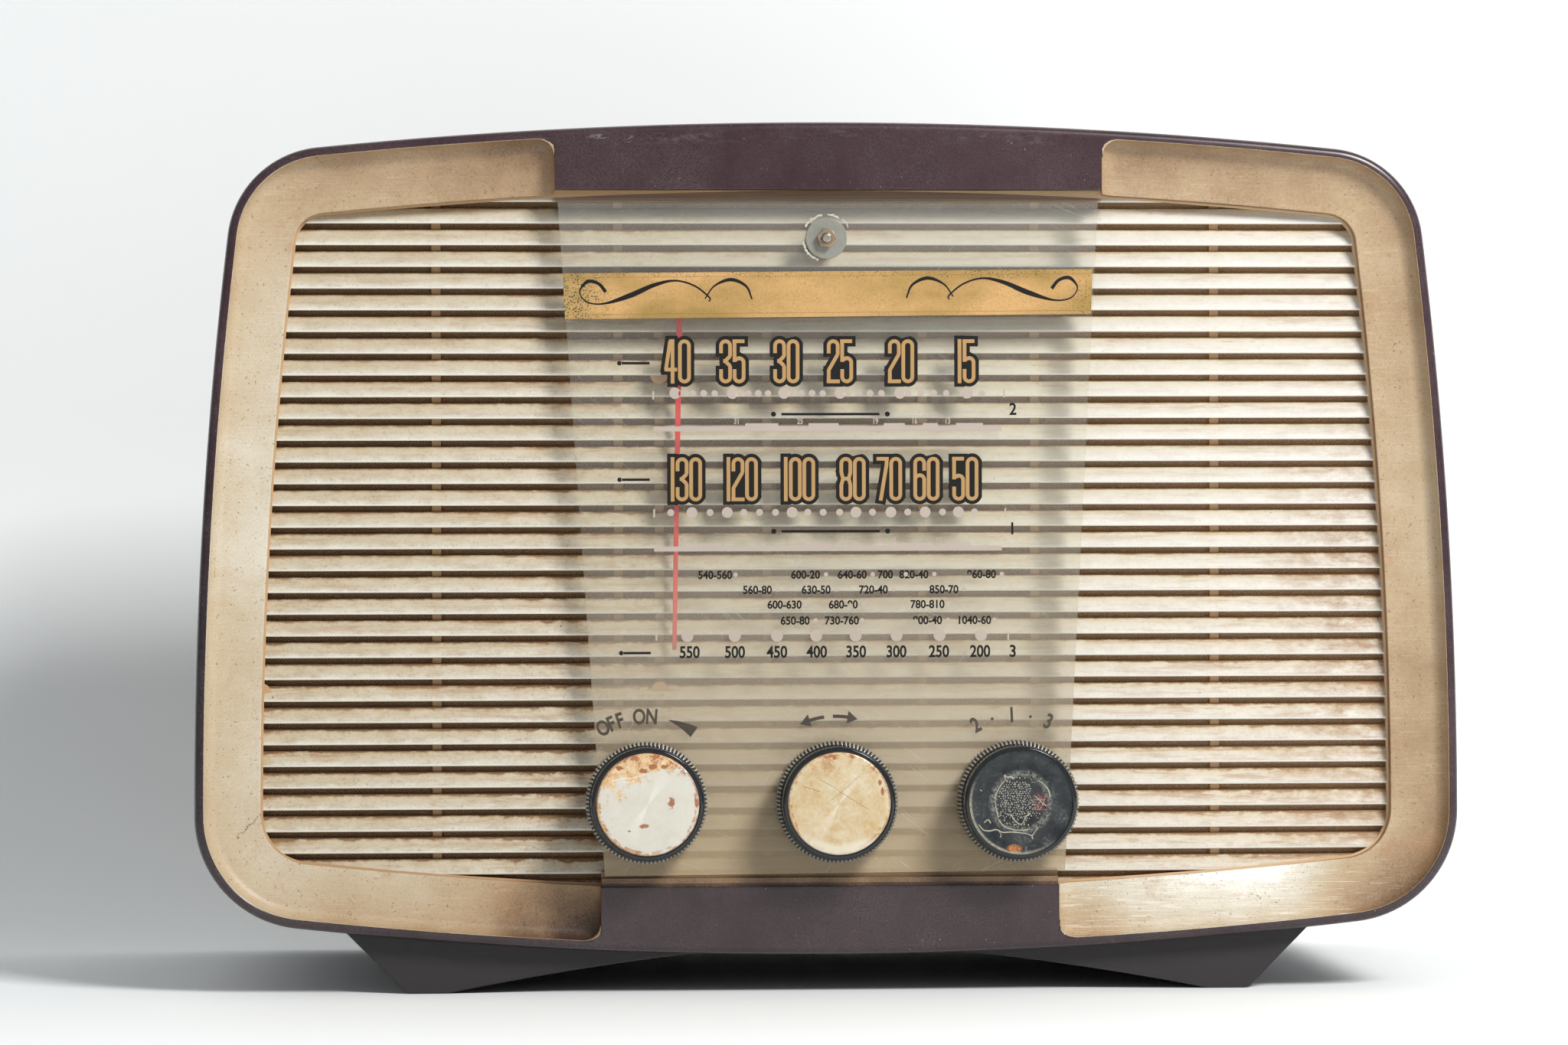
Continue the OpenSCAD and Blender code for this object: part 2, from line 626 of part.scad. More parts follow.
module carriage_rail() {
    color([0.75, 0.75, 0.76]) place()
        translate([-ear_x - 1, rail_y, tongue_z]) rotate([0, 90, 0]) cylinder(h = 2 * ear_x + 2, r = rail_r);
}
module drive_bracket() {
    color([0.66, 0.66, 0.62]) place() difference() {
        union() {
            slab_y(bracket_y, bracket_y + sheet_t)
                polygon([[-bracket_half, tongue_z - 10], [bracket_half, tongue_z - 10], [bracket_half, bracket_top],
                    [-bracket_half, bracket_top]]);
            for (x = [-ear_x, ear_x])
                box(x - sheet_t / 2, x + sheet_t / 2, rail_y - 3.4, bracket_y + 0.1, tongue_z - 6, tongue_z + 4);
            for (x = [-pulley_x, pulley_x]) {
                rod_y(x, pulley_z, cord_y - 3.4, bracket_y + 0.1, pulley_pin_r);
                rod_y(x, pulley_z, cord_y + 2.6, bracket_y + 0.1, 3);
                rod_y(x, pulley_z, cord_y - 3.6, cord_y - 2.6, 2.6);
            }
        }
        slab_y(bracket_y - 1, bracket_y + sheet_t + 1) {
            for (x = [-26, 26])
                translate([x - 18, tongue_z - 2]) square([36, bracket_top - tongue_z - 22]);
        }
        for (x = [-ear_x, ear_x])
            translate([x - 2, rail_y, tongue_z]) rotate([0, 90, 0]) cylinder(h = 4, r = rail_r + run_clear);
        for (x = [-bracket_boss_x, bracket_boss_x])
            rod_y(x, bracket_boss_z, bracket_y - 1, bracket_y + sheet_t + 1, screw_r + 0.2);
        for (x = [-lamp_x, lamp_x])
            rod_y(x, lamp_z, bracket_y - 1, bracket_y + sheet_t + 1, lamp_bush_r + run_clear);
    }
}
module pulley_shape(x) {
    translate([x, cord_y - 2.2, pulley_z]) rotate([-90, 0, 0]) rotate_extrude()
        polygon([[pulley_pin_r + run_clear, 0], [pulley_rim_r, 0], [pulley_rim_r, 0.8], [pulley_r, 1.7], [pulley_r, 2.7],
            [pulley_rim_r, 3.6], [pulley_rim_r, 4.4], [pulley_pin_r + run_clear, 4.4]]);
}
module left_pulley() {
    color([0.75, 0.66, 0.42]) place() pulley_shape(-pulley_x);
}
module right_pulley() {
    color([0.75, 0.66, 0.42]) place() pulley_shape(pulley_x);
}

// Cord drum: two grooves, a web with windows, a hub on the capacitor's shaft
drum_rim_r = drum_r + 1.6;
hub_r = 7;
web_y = (cord_y + belt_y) / 2;
module cord_drum() {
    color([0.78, 0.7, 0.5]) place() translate([gang_x, 0, drum_z]) rotate([0, rest_turn, 0]) difference() {
        union() {
            translate([0, drum_front, 0]) rotate([-90, 0, 0]) rotate_extrude($fn = 96)
                polygon([[drum_r - 3, 0], [drum_rim_r, 0], [drum_rim_r, 0.7], [drum_r, 1.5], [drum_r, 2.5],
                    [drum_rim_r, 3.5], [drum_rim_r, 4.5], [drum_r, 5.5], [drum_r, 6.5], [drum_rim_r, 7.3],
                    [drum_rim_r, 8], [drum_r - 3, 8]]);
            rod_y(0, 0, web_y - 0.75, web_y + 0.75, drum_r - 2);
            rod_y(0, 0, drum_front, drum_back + 2, hub_r);
        }
        for (a = [90, 180, 270])
            rotate([0, a, 0]) rod_y(0, 21.5, drum_front, drum_back, 8.5);
        box(-5.5, 5.5, drum_front - 1, drum_back + 1, 12, 31);
        rod_y(0, 0, drum_front - 1, drum_back + 3, spindle_r);
        rod_y(0, 10.5, web_y - 2, web_y + 2, 0.9);
    }
}

// A tube swept along a list of points; closed paths join their ends
function unit(v) = v / norm(v);
function path_dir(p, i, closed) =
    let (n = len(p), a = closed ? p[(i + n - 1) % n] : p[max(0, i - 1)],
         b = closed ? p[(i + 1) % n] : p[min(n - 1, i + 1)]) unit(b - a);
module sweep(path, r, sides, closed, side_dir) {
    n = len(path);
    points = [for (i = [0 : n - 1]) let (d = path_dir(path, i, closed),
            s = closed ? side_dir : unit(side_dir - (side_dir * d) * d), t = cross(d, s))
        for (k = [0 : sides - 1]) path[i] + r * (cos(360 * k / sides) * s + sin(360 * k / sides) * t)];
    walls = [for (i = [0 : n - (closed ? 1 : 2)]) for (k = [0 : sides - 1]) for (h = [0, 1])
        let (a = i * sides + k, b = i * sides + (k + 1) % sides, c = ((i + 1) % n) * sides + (k + 1) % sides,
             d = ((i + 1) % n) * sides + k)
        h == 0 ? [a, c, b] : [a, d, c]];
    caps = closed ? [] : concat([for (k = [1 : sides - 2]) [0, k, k + 1]],
        [for (k = [1 : sides - 2]) let (e = (n - 1) * sides) [e, e + k + 1, e + k]]);
    polyhedron(points, concat(walls, caps));
}

// Outer tangent point angle between two wheels that a cord runs round on one side; side is 1 for left of c1 to c2
function tangent_angle(c1, r1, c2, r2, side) =
    let (v = c2 - c1) angle_of(v) + side * acos((r1 - r2) / norm(v));
function wrap(c, r, a1, a2, n) =
    let (step = (a2 - a1) / n, out = r / cos(step / 2))
    concat([polar(c, r, a1)], [for (i = [0.5 : n - 0.5]) polar(c, out, a1 + step * i)], [polar(c, r, a2)]);
function lift(points, y) = [for (p = points) [p[0], y, p[1]]];
drum_c = [gang_x, drum_z];
left_c = [-pulley_x, pulley_z];
right_c = [pulley_x, pulley_z];
spindle_c = [tuning_x, control_z];
module pointer_cord() {
    up = tangent_angle(drum_c, drum_cord_r, left_c, pulley_cord_r, 1);
    down = tangent_angle(drum_c, drum_cord_r, right_c, pulley_cord_r, -1);
    color([0.85, 0.8, 0.66]) place() sweep(lift(concat(
        wrap(drum_c, drum_cord_r, down, up - 360, 18),
        wrap(left_c, pulley_cord_r, up, 90, 5),
        wrap(right_c, pulley_cord_r, 90, down, 5)), cord_y), cord_r, 6, true, [0, 1, 0]);
}
module drive_cord() {
    a = tangent_angle(drum_c, drum_cord_r, spindle_c, belt_spindle_r, 1);
    b = tangent_angle(drum_c, drum_cord_r, spindle_c, belt_spindle_r, -1);
    color([0.85, 0.8, 0.66]) place() sweep(lift(concat(
        wrap(drum_c, drum_cord_r, a, b + 360, 22),
        wrap(spindle_c, belt_spindle_r, b + 360, a + 360, 8)), belt_y), cord_r, 6, true, [0, 1, 0]);
}

// Spindles, knobs and discs
module tuning_spindle() {
    color([0.7, 0.68, 0.6]) place() union() {
        rod_y(tuning_x, control_z, spindle_tip, chassis_front + 12, spindle_r);
        rod_y(tuning_x, control_z, belt_y + 1.5, belt_y + 2.5, spindle_r + 1.8);
        rod_y(tuning_x, control_z, chassis_front + 9, chassis_front + 10.5, spindle_r + 1.8);
    }
}
module spindle_bush() {
    color([0.72, 0.62, 0.38]) place() difference() {
        union() {
            rod_y(tuning_x, control_z, nut_front, chassis_front + 8.5, bush_r);
            translate([tuning_x, nut_front + 0.4, control_z]) rotate([-90, 0, 0])
                cylinder(h = chassis_front - nut_front - 0.4, r = 7.2, $fn = 6);
        }
        rod_y(tuning_x, control_z, nut_front - 1, chassis_front + 10, spindle_r + run_clear);
    }
}
skirt_len = 8.5;
knurl_n = 90;
knurl_depth = 0.6;
hub_outer_r = 6.5;
module knob_shape(x) {
    skirt_r = knob_d / 2;
    face_r = disc_d / 2;
    shell = 2.2;
    translate([x, knob_back, control_z]) rotate([90, 0, 0]) difference() {
        union() {
            linear_extrude(skirt_len) polygon([for (i = [0 : 2 * knurl_n - 1])
                polar([0, 0], skirt_r - (i % 2) * knurl_depth, i * 180 / knurl_n)]);
            rotate_extrude($fn = 96) polygon([[0, skirt_len - 1], [skirt_r - 0.9, skirt_len - 1],
                [skirt_r - 0.9, skirt_len + 0.8], [skirt_r - 1.1, knob_len - 3], [skirt_r - 1.5, knob_len - 1.4],
                [skirt_r - 2, knob_len - 0.5], [face_r + 0.3, knob_len], [face_r, knob_len - 0.3],
                [face_r, knob_len - disc_sink], [0, knob_len - disc_sink]]);
        }
        rotate_extrude() polygon([[hub_outer_r, -1], [skirt_r - shell - knurl_depth, -1],
            [skirt_r - shell - 1.2, knob_len - 5], [skirt_r - shell - 4, knob_len - disc_sink - 2.4],
            [hub_outer_r, knob_len - disc_sink - 2.4]]);
        translate([0, 0, -1]) cylinder(h = knob_back - spindle_tip + 1.2, r = spindle_r + run_clear);
    }
}
module disc_shape(x) {
    translate([x, knob_front + disc_sink, control_z]) rotate([90, 0, 0]) rotate_extrude($fn = 96)
        polygon([[0, 0], [disc_d / 2 - 0.1, 0], [disc_d / 2 - 0.1, disc_t - 0.35], [disc_d / 2 - 1.4, disc_t],
            [0, disc_t + 0.1]]);
}
module tuning_knob() {
    color([0.12, 0.12, 0.13]) place() knob_shape(tuning_x);
}
module volume_knob() {
    color([0.12, 0.12, 0.13]) place() knob_shape(-volume_x);
}
module band_knob() {
    color([0.12, 0.12, 0.13]) place() knob_shape(band_x);
}
module tuning_disc() {
    color([0.86, 0.8, 0.66]) place() disc_shape(tuning_x);
}
module volume_disc() {
    color([0.86, 0.82, 0.72]) place() disc_shape(-volume_x);
}

// Volume control with its mains switch, and the wave-change switch
behind_front = chassis_front + sheet_t;
pot_r = 14;
pot_len = 13;
switch_len = 12;
shaft_room = 7;
module volume_spindle() {
    color([0.7, 0.68, 0.6]) place() union() {
        rod_y(-volume_x, control_z, spindle_tip, behind_front + 2, spindle_r);
        rod_y(-volume_x, control_z, behind_front + 1.6, behind_front + pot_len - 3, shaft_room);
    }
}
module volume_control() {
    color([0.55, 0.5, 0.4]) place() difference() {
        union() {
            rod_y(-volume_x, control_z, nut_front, behind_front + 0.1, bush_r);
            rod_y(-volume_x, control_z, behind_front, behind_front + pot_len, pot_r);
            rod_y(-volume_x, control_z, behind_front + pot_len - 0.1, behind_front + pot_len + switch_len, pot_r - 1.2);
            for (x = [-8, 0, 8])
                box(x - volume_x - 1.2, x - volume_x + 1.2, behind_front + 3, behind_front + 3.8,
                    control_z - pot_r - 6, control_z - pot_r + 4);
            for (x = [-5, 5])
                box(x - volume_x - 1.2, x - volume_x + 1.2, behind_front + pot_len + switch_len - 0.1,
                    behind_front + pot_len + switch_len + 5, control_z - 0.5, control_z + 0.5);
        }
        rod_y(-volume_x, control_z, nut_front - 1, behind_front + 2, spindle_r + run_clear);
        rod_y(-volume_x, control_z, behind_front + 1, behind_front + pot_len - 2, shaft_room + joint_clear);
    }
}
wafer_ys = [24, 42];
wafer_t = 1.6;
wafer_r = 17;
wafer_hole_r = 7;
module band_spindle() {
    color([0.7, 0.68, 0.6]) place() union() {
        rod_y(band_x, control_z, spindle_tip, behind_front + wafer_ys[1] + 6, spindle_r);
        rod_y(band_x, control_z, behind_front + 3, behind_front + 5, 9);
        for (y = wafer_ys)
            rod_y(band_x, control_z, behind_front + y + wafer_t + joint_clear, behind_front + y + wafer_t + 1.3, 10);
    }
}
module band_switch() {
    color([0.6, 0.45, 0.28]) place() difference() {
        union() {
            rod_y(band_x, control_z, nut_front, behind_front + 0.1, bush_r);
            rod_y(band_x, control_z, behind_front, behind_front + 2.4, 15);
            for (s = [-1, 1])
                rod_y(band_x + s * 13, control_z, behind_front, behind_front + wafer_ys[1] + 4, 1.6);
            for (y = wafer_ys)
                rod_y(band_x, control_z, behind_front + y, behind_front + y + wafer_t, wafer_r);
            for (y = wafer_ys, i = [0 : 11])
                translate([band_x, behind_front + y + wafer_t / 2 - 0.4, control_z]) rotate([0, i * 30, 0])
                    translate([-0.9, 0, wafer_r - 2]) cube([1.8, 0.8, 6]);
        }
        rod_y(band_x, control_z, nut_front - 1, behind_front + 3, spindle_r + run_clear);
        for (y = wafer_ys)
            rod_y(band_x, control_z, behind_front + y - 1, behind_front + y + wafer_t + 1, wafer_hole_r);
    }
}
module control_nuts() {
    color([0.72, 0.7, 0.62]) place() for (x = [-volume_x, band_x]) difference() {
        translate([x, nut_front + 0.6, control_z]) rotate([-90, 0, 0])
            cylinder(h = chassis_front - nut_front - 0.6, r = 7.4, $fn = 6);
        rod_y(x, control_z, nut_front - 1, chassis_front + 1, bush_r + run_clear);
    }
}

// Tuning capacitor
gang_back = gang_front + gang_len;
pack_ys = [gang_front + 5, gang_front + 5 + gang_pack + gang_pack_gap];
plate_low = chassis_top + 5;
gang_top = drum_z + vane_r + 3;
module gang_frame() {
    color([0.7, 0.71, 0.7]) place() difference() {
        union() {
            for (y = [gang_front, gang_back - 1.6])
                box(gang_x - gang_half, gang_x + gang_half, y, y + 1.6, plate_low, gang_top);
            box(gang_x - gang_half, gang_x + gang_half, gang_front, gang_back, plate_low - 1.6, plate_low);
            box(gang_x + gang_half - 1.4, gang_x + gang_half, gang_front, gang_back, plate_low - 0.1, plate_low + 10);
            box(gang_x - gang_half + 12, gang_x + gang_half, (gang_front + gang_back) / 2 - 0.6,
                (gang_front + gang_back) / 2 + 0.6, plate_low - 0.1, plate_low + 6);
            for (x = [-1, 1], y = [gang_front + 7, gang_back - 7])
                translate([gang_x + x * (gang_half - 6), y, chassis_top]) cylinder(h = plate_low - chassis_top - 1, r = 4);
            for (y = [gang_front - 1.4, gang_back - 0.1])
                rod_y(gang_x, drum_z, y, y + 1.5, 6);
        }
        rod_y(gang_x, drum_z, gang_front - 2, gang_back + 2, spindle_r + run_clear);
    }
}
module gang_stators() {
    stator_r = vane_r + 1.8;
    color([0.8, 0.8, 0.8]) place() for (y0 = pack_ys) union() {
        for (i = [0 : vane_n])
            slab_y(y0 + i * vane_pitch, y0 + i * vane_pitch + vane_t) translate([gang_x, drum_z]) difference() {
                intersection() {
                    circle(r = stator_r);
                    translate([-stator_r, -stator_r]) square([stator_r - 0.8, 2 * stator_r]);
                }
                circle(r = hub_gap_r);
            }
        box(gang_x - stator_r - 0.6, gang_x - stator_r + 0.9, y0, y0 + vane_n * vane_pitch + vane_t,
            drum_z - 9, drum_z + 9);
    }
}
hub_gap_r = spindle_r + 2.4;
module gang_insulators() {
    stator_left = gang_x - vane_r - 1.8 - 0.6;
    color([0.9, 0.86, 0.76]) place() for (y0 = pack_ys)
        box(stator_left - 2.2, stator_left, y0 + 3, y0 + gang_pack - 6, plate_low, drum_z + 7);
}
module gang_rotor() {
    color([0.82, 0.82, 0.8]) place() translate([gang_x, 0, drum_z]) rotate([0, rest_turn, 0]) union() {
        rod_y(0, 0, drum_front - 0.5, gang_back + 3, spindle_r);
        for (y0 = pack_ys) {
            rod_y(0, 0, y0 + vane_pitch / 2, y0 + vane_pitch * (vane_n - 0.5) + vane_t, spindle_r + 1.2);
            for (i = [0 : vane_n - 1])
                slab_y(y0 + (i + 0.5) * vane_pitch, y0 + (i + 0.5) * vane_pitch + vane_t) intersection() {
                    circle(r = vane_r);
                    translate([-vane_r, -vane_r]) square([vane_r, 2 * vane_r]);
                }
        }
    }
}
module cord_spring() {
    turns = 9;
    steps = 8;
    r = 2.6;
    wire = 0.5;
    low = 13.2;
    high = 29.8;
    n = turns * steps;
    color([0.72, 0.72, 0.74]) place() translate([gang_x, web_y, drum_z]) rotate([0, rest_turn, 0])
        sweep([for (i = [0 : n]) [r * cos(360 * i / steps), r * sin(360 * i / steps), low + (high - low) * i / n]],
            wire, 5, false, [0, 0, 1]);
}

// Loudspeaker, baffle board and cloth
module speaker_frame() {
    basket_back = magnet_y;
    color([0.35, 0.36, 0.36]) place() difference() {
        translate([-speaker_x, board_back, speaker_z]) rotate([-90, 0, 0]) rotate_extrude($fn = 96)
            polygon([[speaker_r - 11, 0], [speaker_r, 0], [speaker_r, speaker_rim_t], [speaker_r - 5, speaker_rim_t],
                [speaker_r - 9, 9], [magnet_d / 2 + 5, basket_back - board_back], [coil_r + 2, basket_back - board_back],
                [coil_r + 2, basket_back - board_back - 1.6], [magnet_d / 2 + 3, basket_back - board_back - 1.6],
                [speaker_r - 11, 8]]);
        for (a = [22.5 : 45 : 337.5])
            translate([-speaker_x, board_back + 13, speaker_z]) rotate([0, a, 0])
                translate([-9, 0, magnet_d / 2 + 7]) cube([18, basket_back - board_back - 17, speaker_r]);
        for (a = [45 : 90 : 315])
            rod_y(-speaker_x + (speaker_r - 3.4) * cos(a), speaker_z + (speaker_r - 3.4) * sin(a), board_back - 1,
                speaker_back + 1, 1.8);
    }
}
module speaker_magnet() {
    color([0.42, 0.4, 0.38]) place() difference() {
        union() {
            rod_y(-speaker_x, speaker_z, magnet_y, magnet_y + magnet_h, magnet_d / 2);
            rod_y(-speaker_x, speaker_z, magnet_y - 6, magnet_y + 1, coil_r - 2.6);
        }
        difference() {
            rod_y(-speaker_x, speaker_z, magnet_y - 1, magnet_y + 9, coil_r + 0.6);
            rod_y(-speaker_x, speaker_z, magnet_y - 7, magnet_y + 10, coil_r - 2.6);
        }
    }
}
module speaker_cone() {
    depth = magnet_y - board_back - 8;
    t = 0.8;
    color([0.24, 0.22, 0.2]) place() translate([-speaker_x, board_back + 0.2, speaker_z]) rotate([-90, 0, 0])
        rotate_extrude($fn = 96) polygon([
            [speaker_r - 11.3, 0], [cone_r - 3.6, 0], [cone_r - 5, 1.6], [cone_r - 6.6, 0.4], [cone_r - 9, 2.4],
            [coil_r + 1.4, depth], [0, depth - 5.5], [0, depth - 5.5 + t], [coil_r - 1.2, depth + 0.6],
            [coil_r - 1.2, depth + 11], [coil_r - 0.6, depth + 11], [coil_r - 0.4, depth + 1.6],
            [cone_r - 8.8, 2.4 + t * 1.6], [cone_r - 6.6, 0.4 + t * 1.6], [cone_r - 5, 1.6 + t * 1.6],
            [cone_r - 3.6, t], [speaker_r - 11.3, t]]);
}
module baffle_board() {
    color([0.5, 0.36, 0.22]) place() slab_y(board_y, board_back) difference() {
        polygon([[board_left, board_bottom], [board_right, board_bottom], [board_right, 214],
            [board_right - 36, 222], [board_right - 48, board_top], [board_left + 16, board_top],
            [board_left, board_top - 20]]);
        translate([-speaker_x, speaker_z]) circle(r = speaker_r - 12, $fn = 96);
        for (p = board_screw_places)
            translate(p) circle(r = screw_r + 0.2);
    }
}
module speaker_cloth() {
    color([0.22, 0.16, 0.11]) place() slab_y(cloth_y, cloth_y + cloth_t) difference() {
        polygon(lip_outline(ring_margin - 1, panel_front));
        translate([-pointer_travel / 2 - 7, tongue_z - 4]) square([pointer_travel + 14, 8]);
        for (x = control_xs)
            translate([x, control_z]) circle(r = boss_bore_r + 0.5);
        for (p = board_screw_places)
            translate(p) circle(r = screw_r + 0.4);
    }
}

// Chassis: a folded steel tray, open below
module chassis() {
    color([0.62, 0.63, 0.6]) place() difference() {
        box(-chassis_w / 2, chassis_w / 2, chassis_front, chassis_back, chassis_z, chassis_top);
        box(-chassis_w / 2 + sheet_t, chassis_w / 2 - sheet_t, chassis_front + sheet_t, chassis_back - sheet_t,
            chassis_z + sheet_t, chassis_top - sheet_t);
        box(-chassis_w / 2 + sheet_t, chassis_w / 2 - sheet_t, chassis_front + flange_w, chassis_back - flange_w,
            chassis_z - 1, chassis_z + 2 * sheet_t);
        for (x = control_xs)
            rod_y(x, control_z, chassis_front - 1, chassis_front + sheet_t + 1, bush_r + run_clear);
        for (p = valve_places)
            translate([p[0], p[1], chassis_top - sheet_t - 1]) cylinder(h = sheet_t + 2, r = holder_r - 3);
        for (p = can_places)
            translate([p[0], p[1], chassis_top - sheet_t - 1]) cylinder(h = sheet_t + 2, r = 9);
        for (x = [-bolt_x, bolt_x], y = bolt_ys)
            translate([x, y, chassis_z - 1]) cylinder(h = sheet_t + 2, r = bolt_d / 2 + run_clear);
        box(mains_place[0] - 24, mains_place[0] + 24, mains_place[1] - 20, mains_place[1] + 20,
            chassis_top - sheet_t - 1, chassis_top + 1);
        box(socket_x - 15, socket_x + 15, chassis_back - sheet_t - 1, chassis_back + 1, socket_z - 6, socket_z + 6);
    }
}
holder_r = 14;
module chassis_bolts() {
    color([0.66, 0.62, 0.5]) place() for (x = [-bolt_x, bolt_x], y = bolt_ys) {
        translate([x, y, bolt_seat_z - bolt_head_h]) cylinder(h = bolt_head_h, r = bolt_head_r);
        translate([x, y, bolt_seat_z - 0.1]) cylinder(h = chassis_z + 8 - bolt_seat_z, r = bolt_d / 2);
        translate([x, y, chassis_z + sheet_t]) difference() {
            cylinder(h = 3.2, r = 4.1, $fn = 6);
            translate([0, 0, -1]) cylinder(h = 6, r = bolt_d / 2);
        }
    }
}

// Iron and windings
core_w = 76;
core_h = 64;
stack_t = 30;
bobbin_out = 14;
module mains_transformer() {
    x = mains_place[0];
    y = mains_place[1];
    color([0.3, 0.29, 0.28]) place() difference() {
        union() {
            box(x - core_w / 2, x + core_w / 2, y - stack_t / 2, y + stack_t / 2, chassis_top, chassis_top + core_h);
            for (s = [-1, 1], e = [-1, 1])
                rod_y(x + s * (core_w / 2 - 6), chassis_top + core_h / 2 + e * (core_h / 2 - 6),
                    y - stack_t / 2 - 4, y + stack_t / 2 + 4, 2.4);
        }
        for (s = [-1, 1])
            box(x + s * 19 - 6, x + s * 19 + 6, y - stack_t / 2 - 1, y + stack_t / 2 + 1, chassis_top + 12,
                chassis_top + core_h - 12);
    }
}
out_w = 42;
out_h = 36;
out_t = 16;
module output_transformer() {
    x = output_place[0];
    y = output_place[1];
    color([0.32, 0.31, 0.3]) place() difference() {
        union() {
            box(x - out_w / 2, x + out_w / 2, y - out_t / 2, y + out_t / 2, chassis_top, chassis_top + out_h);
            box(x - out_w / 2 - 7, x + out_w / 2 + 7, y - out_t / 2, y + out_t / 2, chassis_top, chassis_top + 1.4);
        }
        for (s = [-1, 1])
            box(x + s * 11 - 4, x + s * 11 + 4, y - out_t / 2 - 1, y + out_t / 2 + 1, chassis_top + 7,
                chassis_top + out_h - 7);
    }
}
module winding(x, y, z1, z2, leg, slot_c, slot_w, stack, out) {
    difference() {
        box(x - slot_c - slot_w / 2 + seat_clear, x + slot_c + slot_w / 2 - seat_clear, y - stack / 2 - out,
            y + stack / 2 + out, z1 + seat_clear, z2 - seat_clear);
        box(x - leg - seat_clear, x + leg + seat_clear, y - stack / 2 - seat_clear, y + stack / 2 + seat_clear,
            z1 - 1, z2 + 1);
    }
}
module transformer_windings() {
    color([0.66, 0.5, 0.26]) place() {
        winding(mains_place[0], mains_place[1], chassis_top + 12, chassis_top + core_h - 12, 13, 19, 12, stack_t,
            bobbin_out);
        winding(output_place[0], output_place[1], chassis_top + 7, chassis_top + out_h - 7, 7, 11, 8, out_t, 7);
    }
}
smoothing_d = 35;
smoothing_h = 67.5;
module smoothing_capacitor() {
    x = smoothing_place[0];
    y = smoothing_place[1];
    r = smoothing_d / 2;
    color([0.78, 0.78, 0.77]) place() translate([x, y, chassis_top]) rotate_extrude()
        polygon([[0, 0], [r + 1.5, 0], [r + 1.5, 8], [r, 9], [r, smoothing_h - 1.5], [r - 1.5, smoothing_h],
            [r - 3.5, smoothing_h], [r - 4.5, smoothing_h - 1], [0, smoothing_h - 1]]);
}
module if_cans() {
    color([0.8, 0.8, 0.78]) place() for (p = can_places) difference() {
        box(p[0] - can_w / 2, p[0] + can_w / 2, p[1] - can_w / 2, p[1] + can_w / 2, chassis_top, chassis_top + can_h);
        translate([p[0], p[1], chassis_top - 1]) cylinder(h = can_h - 1, r = can_w / 2 - 2);
        for (s = [-1, 1])
            translate([p[0] + s * 7, p[1], chassis_top + can_h - 3]) cylinder(h = 4, r = 2.5);
    }
}

// Valves: hollow glass with a short pip, a metal collar's step low down, pins pressed through the base
module valve_shape(i) {
    r = valve_d / 2;
    t = 1;
    low = chassis_top + holder_h;
    p = valve_places[i];
    translate([p[0], p[1], low]) rotate_extrude() polygon([
        [0, 0], [r - 1, 0], [r, 1], [r, valve_h - r], [r * 0.92, valve_h - r * 0.6], [r * 0.7, valve_h - r * 0.3],
        [r * 0.35, valve_h - r * 0.1], [1.6, valve_h - 0.4], [1.2, valve_h + 2.6], [0, valve_h + 3.4],
        [0, valve_h - 1.6], [r * 0.32, valve_h - r * 0.1 - t], [r * 0.66, valve_h - r * 0.32 - t],
        [r * 0.84, valve_h - r * 0.66 - t * 0.6], [r - t, valve_h - r - 0.4], [r - t, 2.6], [0, 2.6]]);
}
module frequency_changer() {
    color([0.8, 0.82, 0.84, 0.4]) place() valve_shape(0);
}
module if_amplifier() {
    color([0.8, 0.82, 0.84, 0.4]) place() valve_shape(1);
}
module detector_valve() {
    color([0.8, 0.82, 0.84, 0.4]) place() valve_shape(2);
}
module output_valve() {
    color([0.8, 0.82, 0.84, 0.4]) place() valve_shape(3);
}
module rectifier_valve() {
    color([0.8, 0.82, 0.84, 0.4]) place() valve_shape(4);
}
module valve_electrodes() {
    color([0.4, 0.4, 0.4]) place() for (p = valve_places)
        translate([p[0], p[1], chassis_top + holder_h + 2.7]) {
            cylinder(h = 6.4, r = 4);
            translate([0, 0, 6.3]) cylinder(h = 1, r = valve_d / 2 - 2.2);
            translate([0, 0, 7.2]) cylinder(h = valve_h * 0.45, r = valve_d / 2 - 4.4);
            translate([0, 0, 7.1 + valve_h * 0.45]) cylinder(h = 1, r = valve_d / 2 - 2.2);
        }
}
module valve_holders() {
    color([0.5, 0.35, 0.2]) place() for (p = valve_places) difference() {
        union() {
            translate([p[0], p[1], chassis_top]) cylinder(h = holder_h, r = holder_r);
            translate([p[0], p[1], chassis_top - 5]) cylinder(h = 6, r = holder_r - 3.4);
        }
        translate([p[0], p[1], chassis_top - 6]) cylinder(h = holder_h + 7, r = 3);
    }
}

// Tag board under the chassis with its wired parts
tag_half = 95;
tag_shift = 22;
tag_drop = 12;
tag_depth = 32;
post_r = 3;
post_in = 5;
module tag_board() {
    y = (chassis_front + chassis_back) / 2 + tag_shift;
    z = chassis_top - sheet_t - tag_drop;
    color([0.62, 0.42, 0.22]) place() union() {
        box(-tag_half, tag_half, y - tag_depth / 2, y + tag_depth / 2, z, z + 2);
        for (x = [post_in - tag_half, tag_half - post_in])
            translate([x, y, z + 1.9]) cylinder(h = tag_drop - 1.9 - run_clear * 2, r = post_r);
        for (i = [0 : 8]) let (r = [2.4, 5, 3, 6.5, 2.4, 4.4, 3, 5.4, 2.4][i])
            rod_y(-76 + i * 19, z - r + 0.4, y - 11, y + 11, r);
    }
}

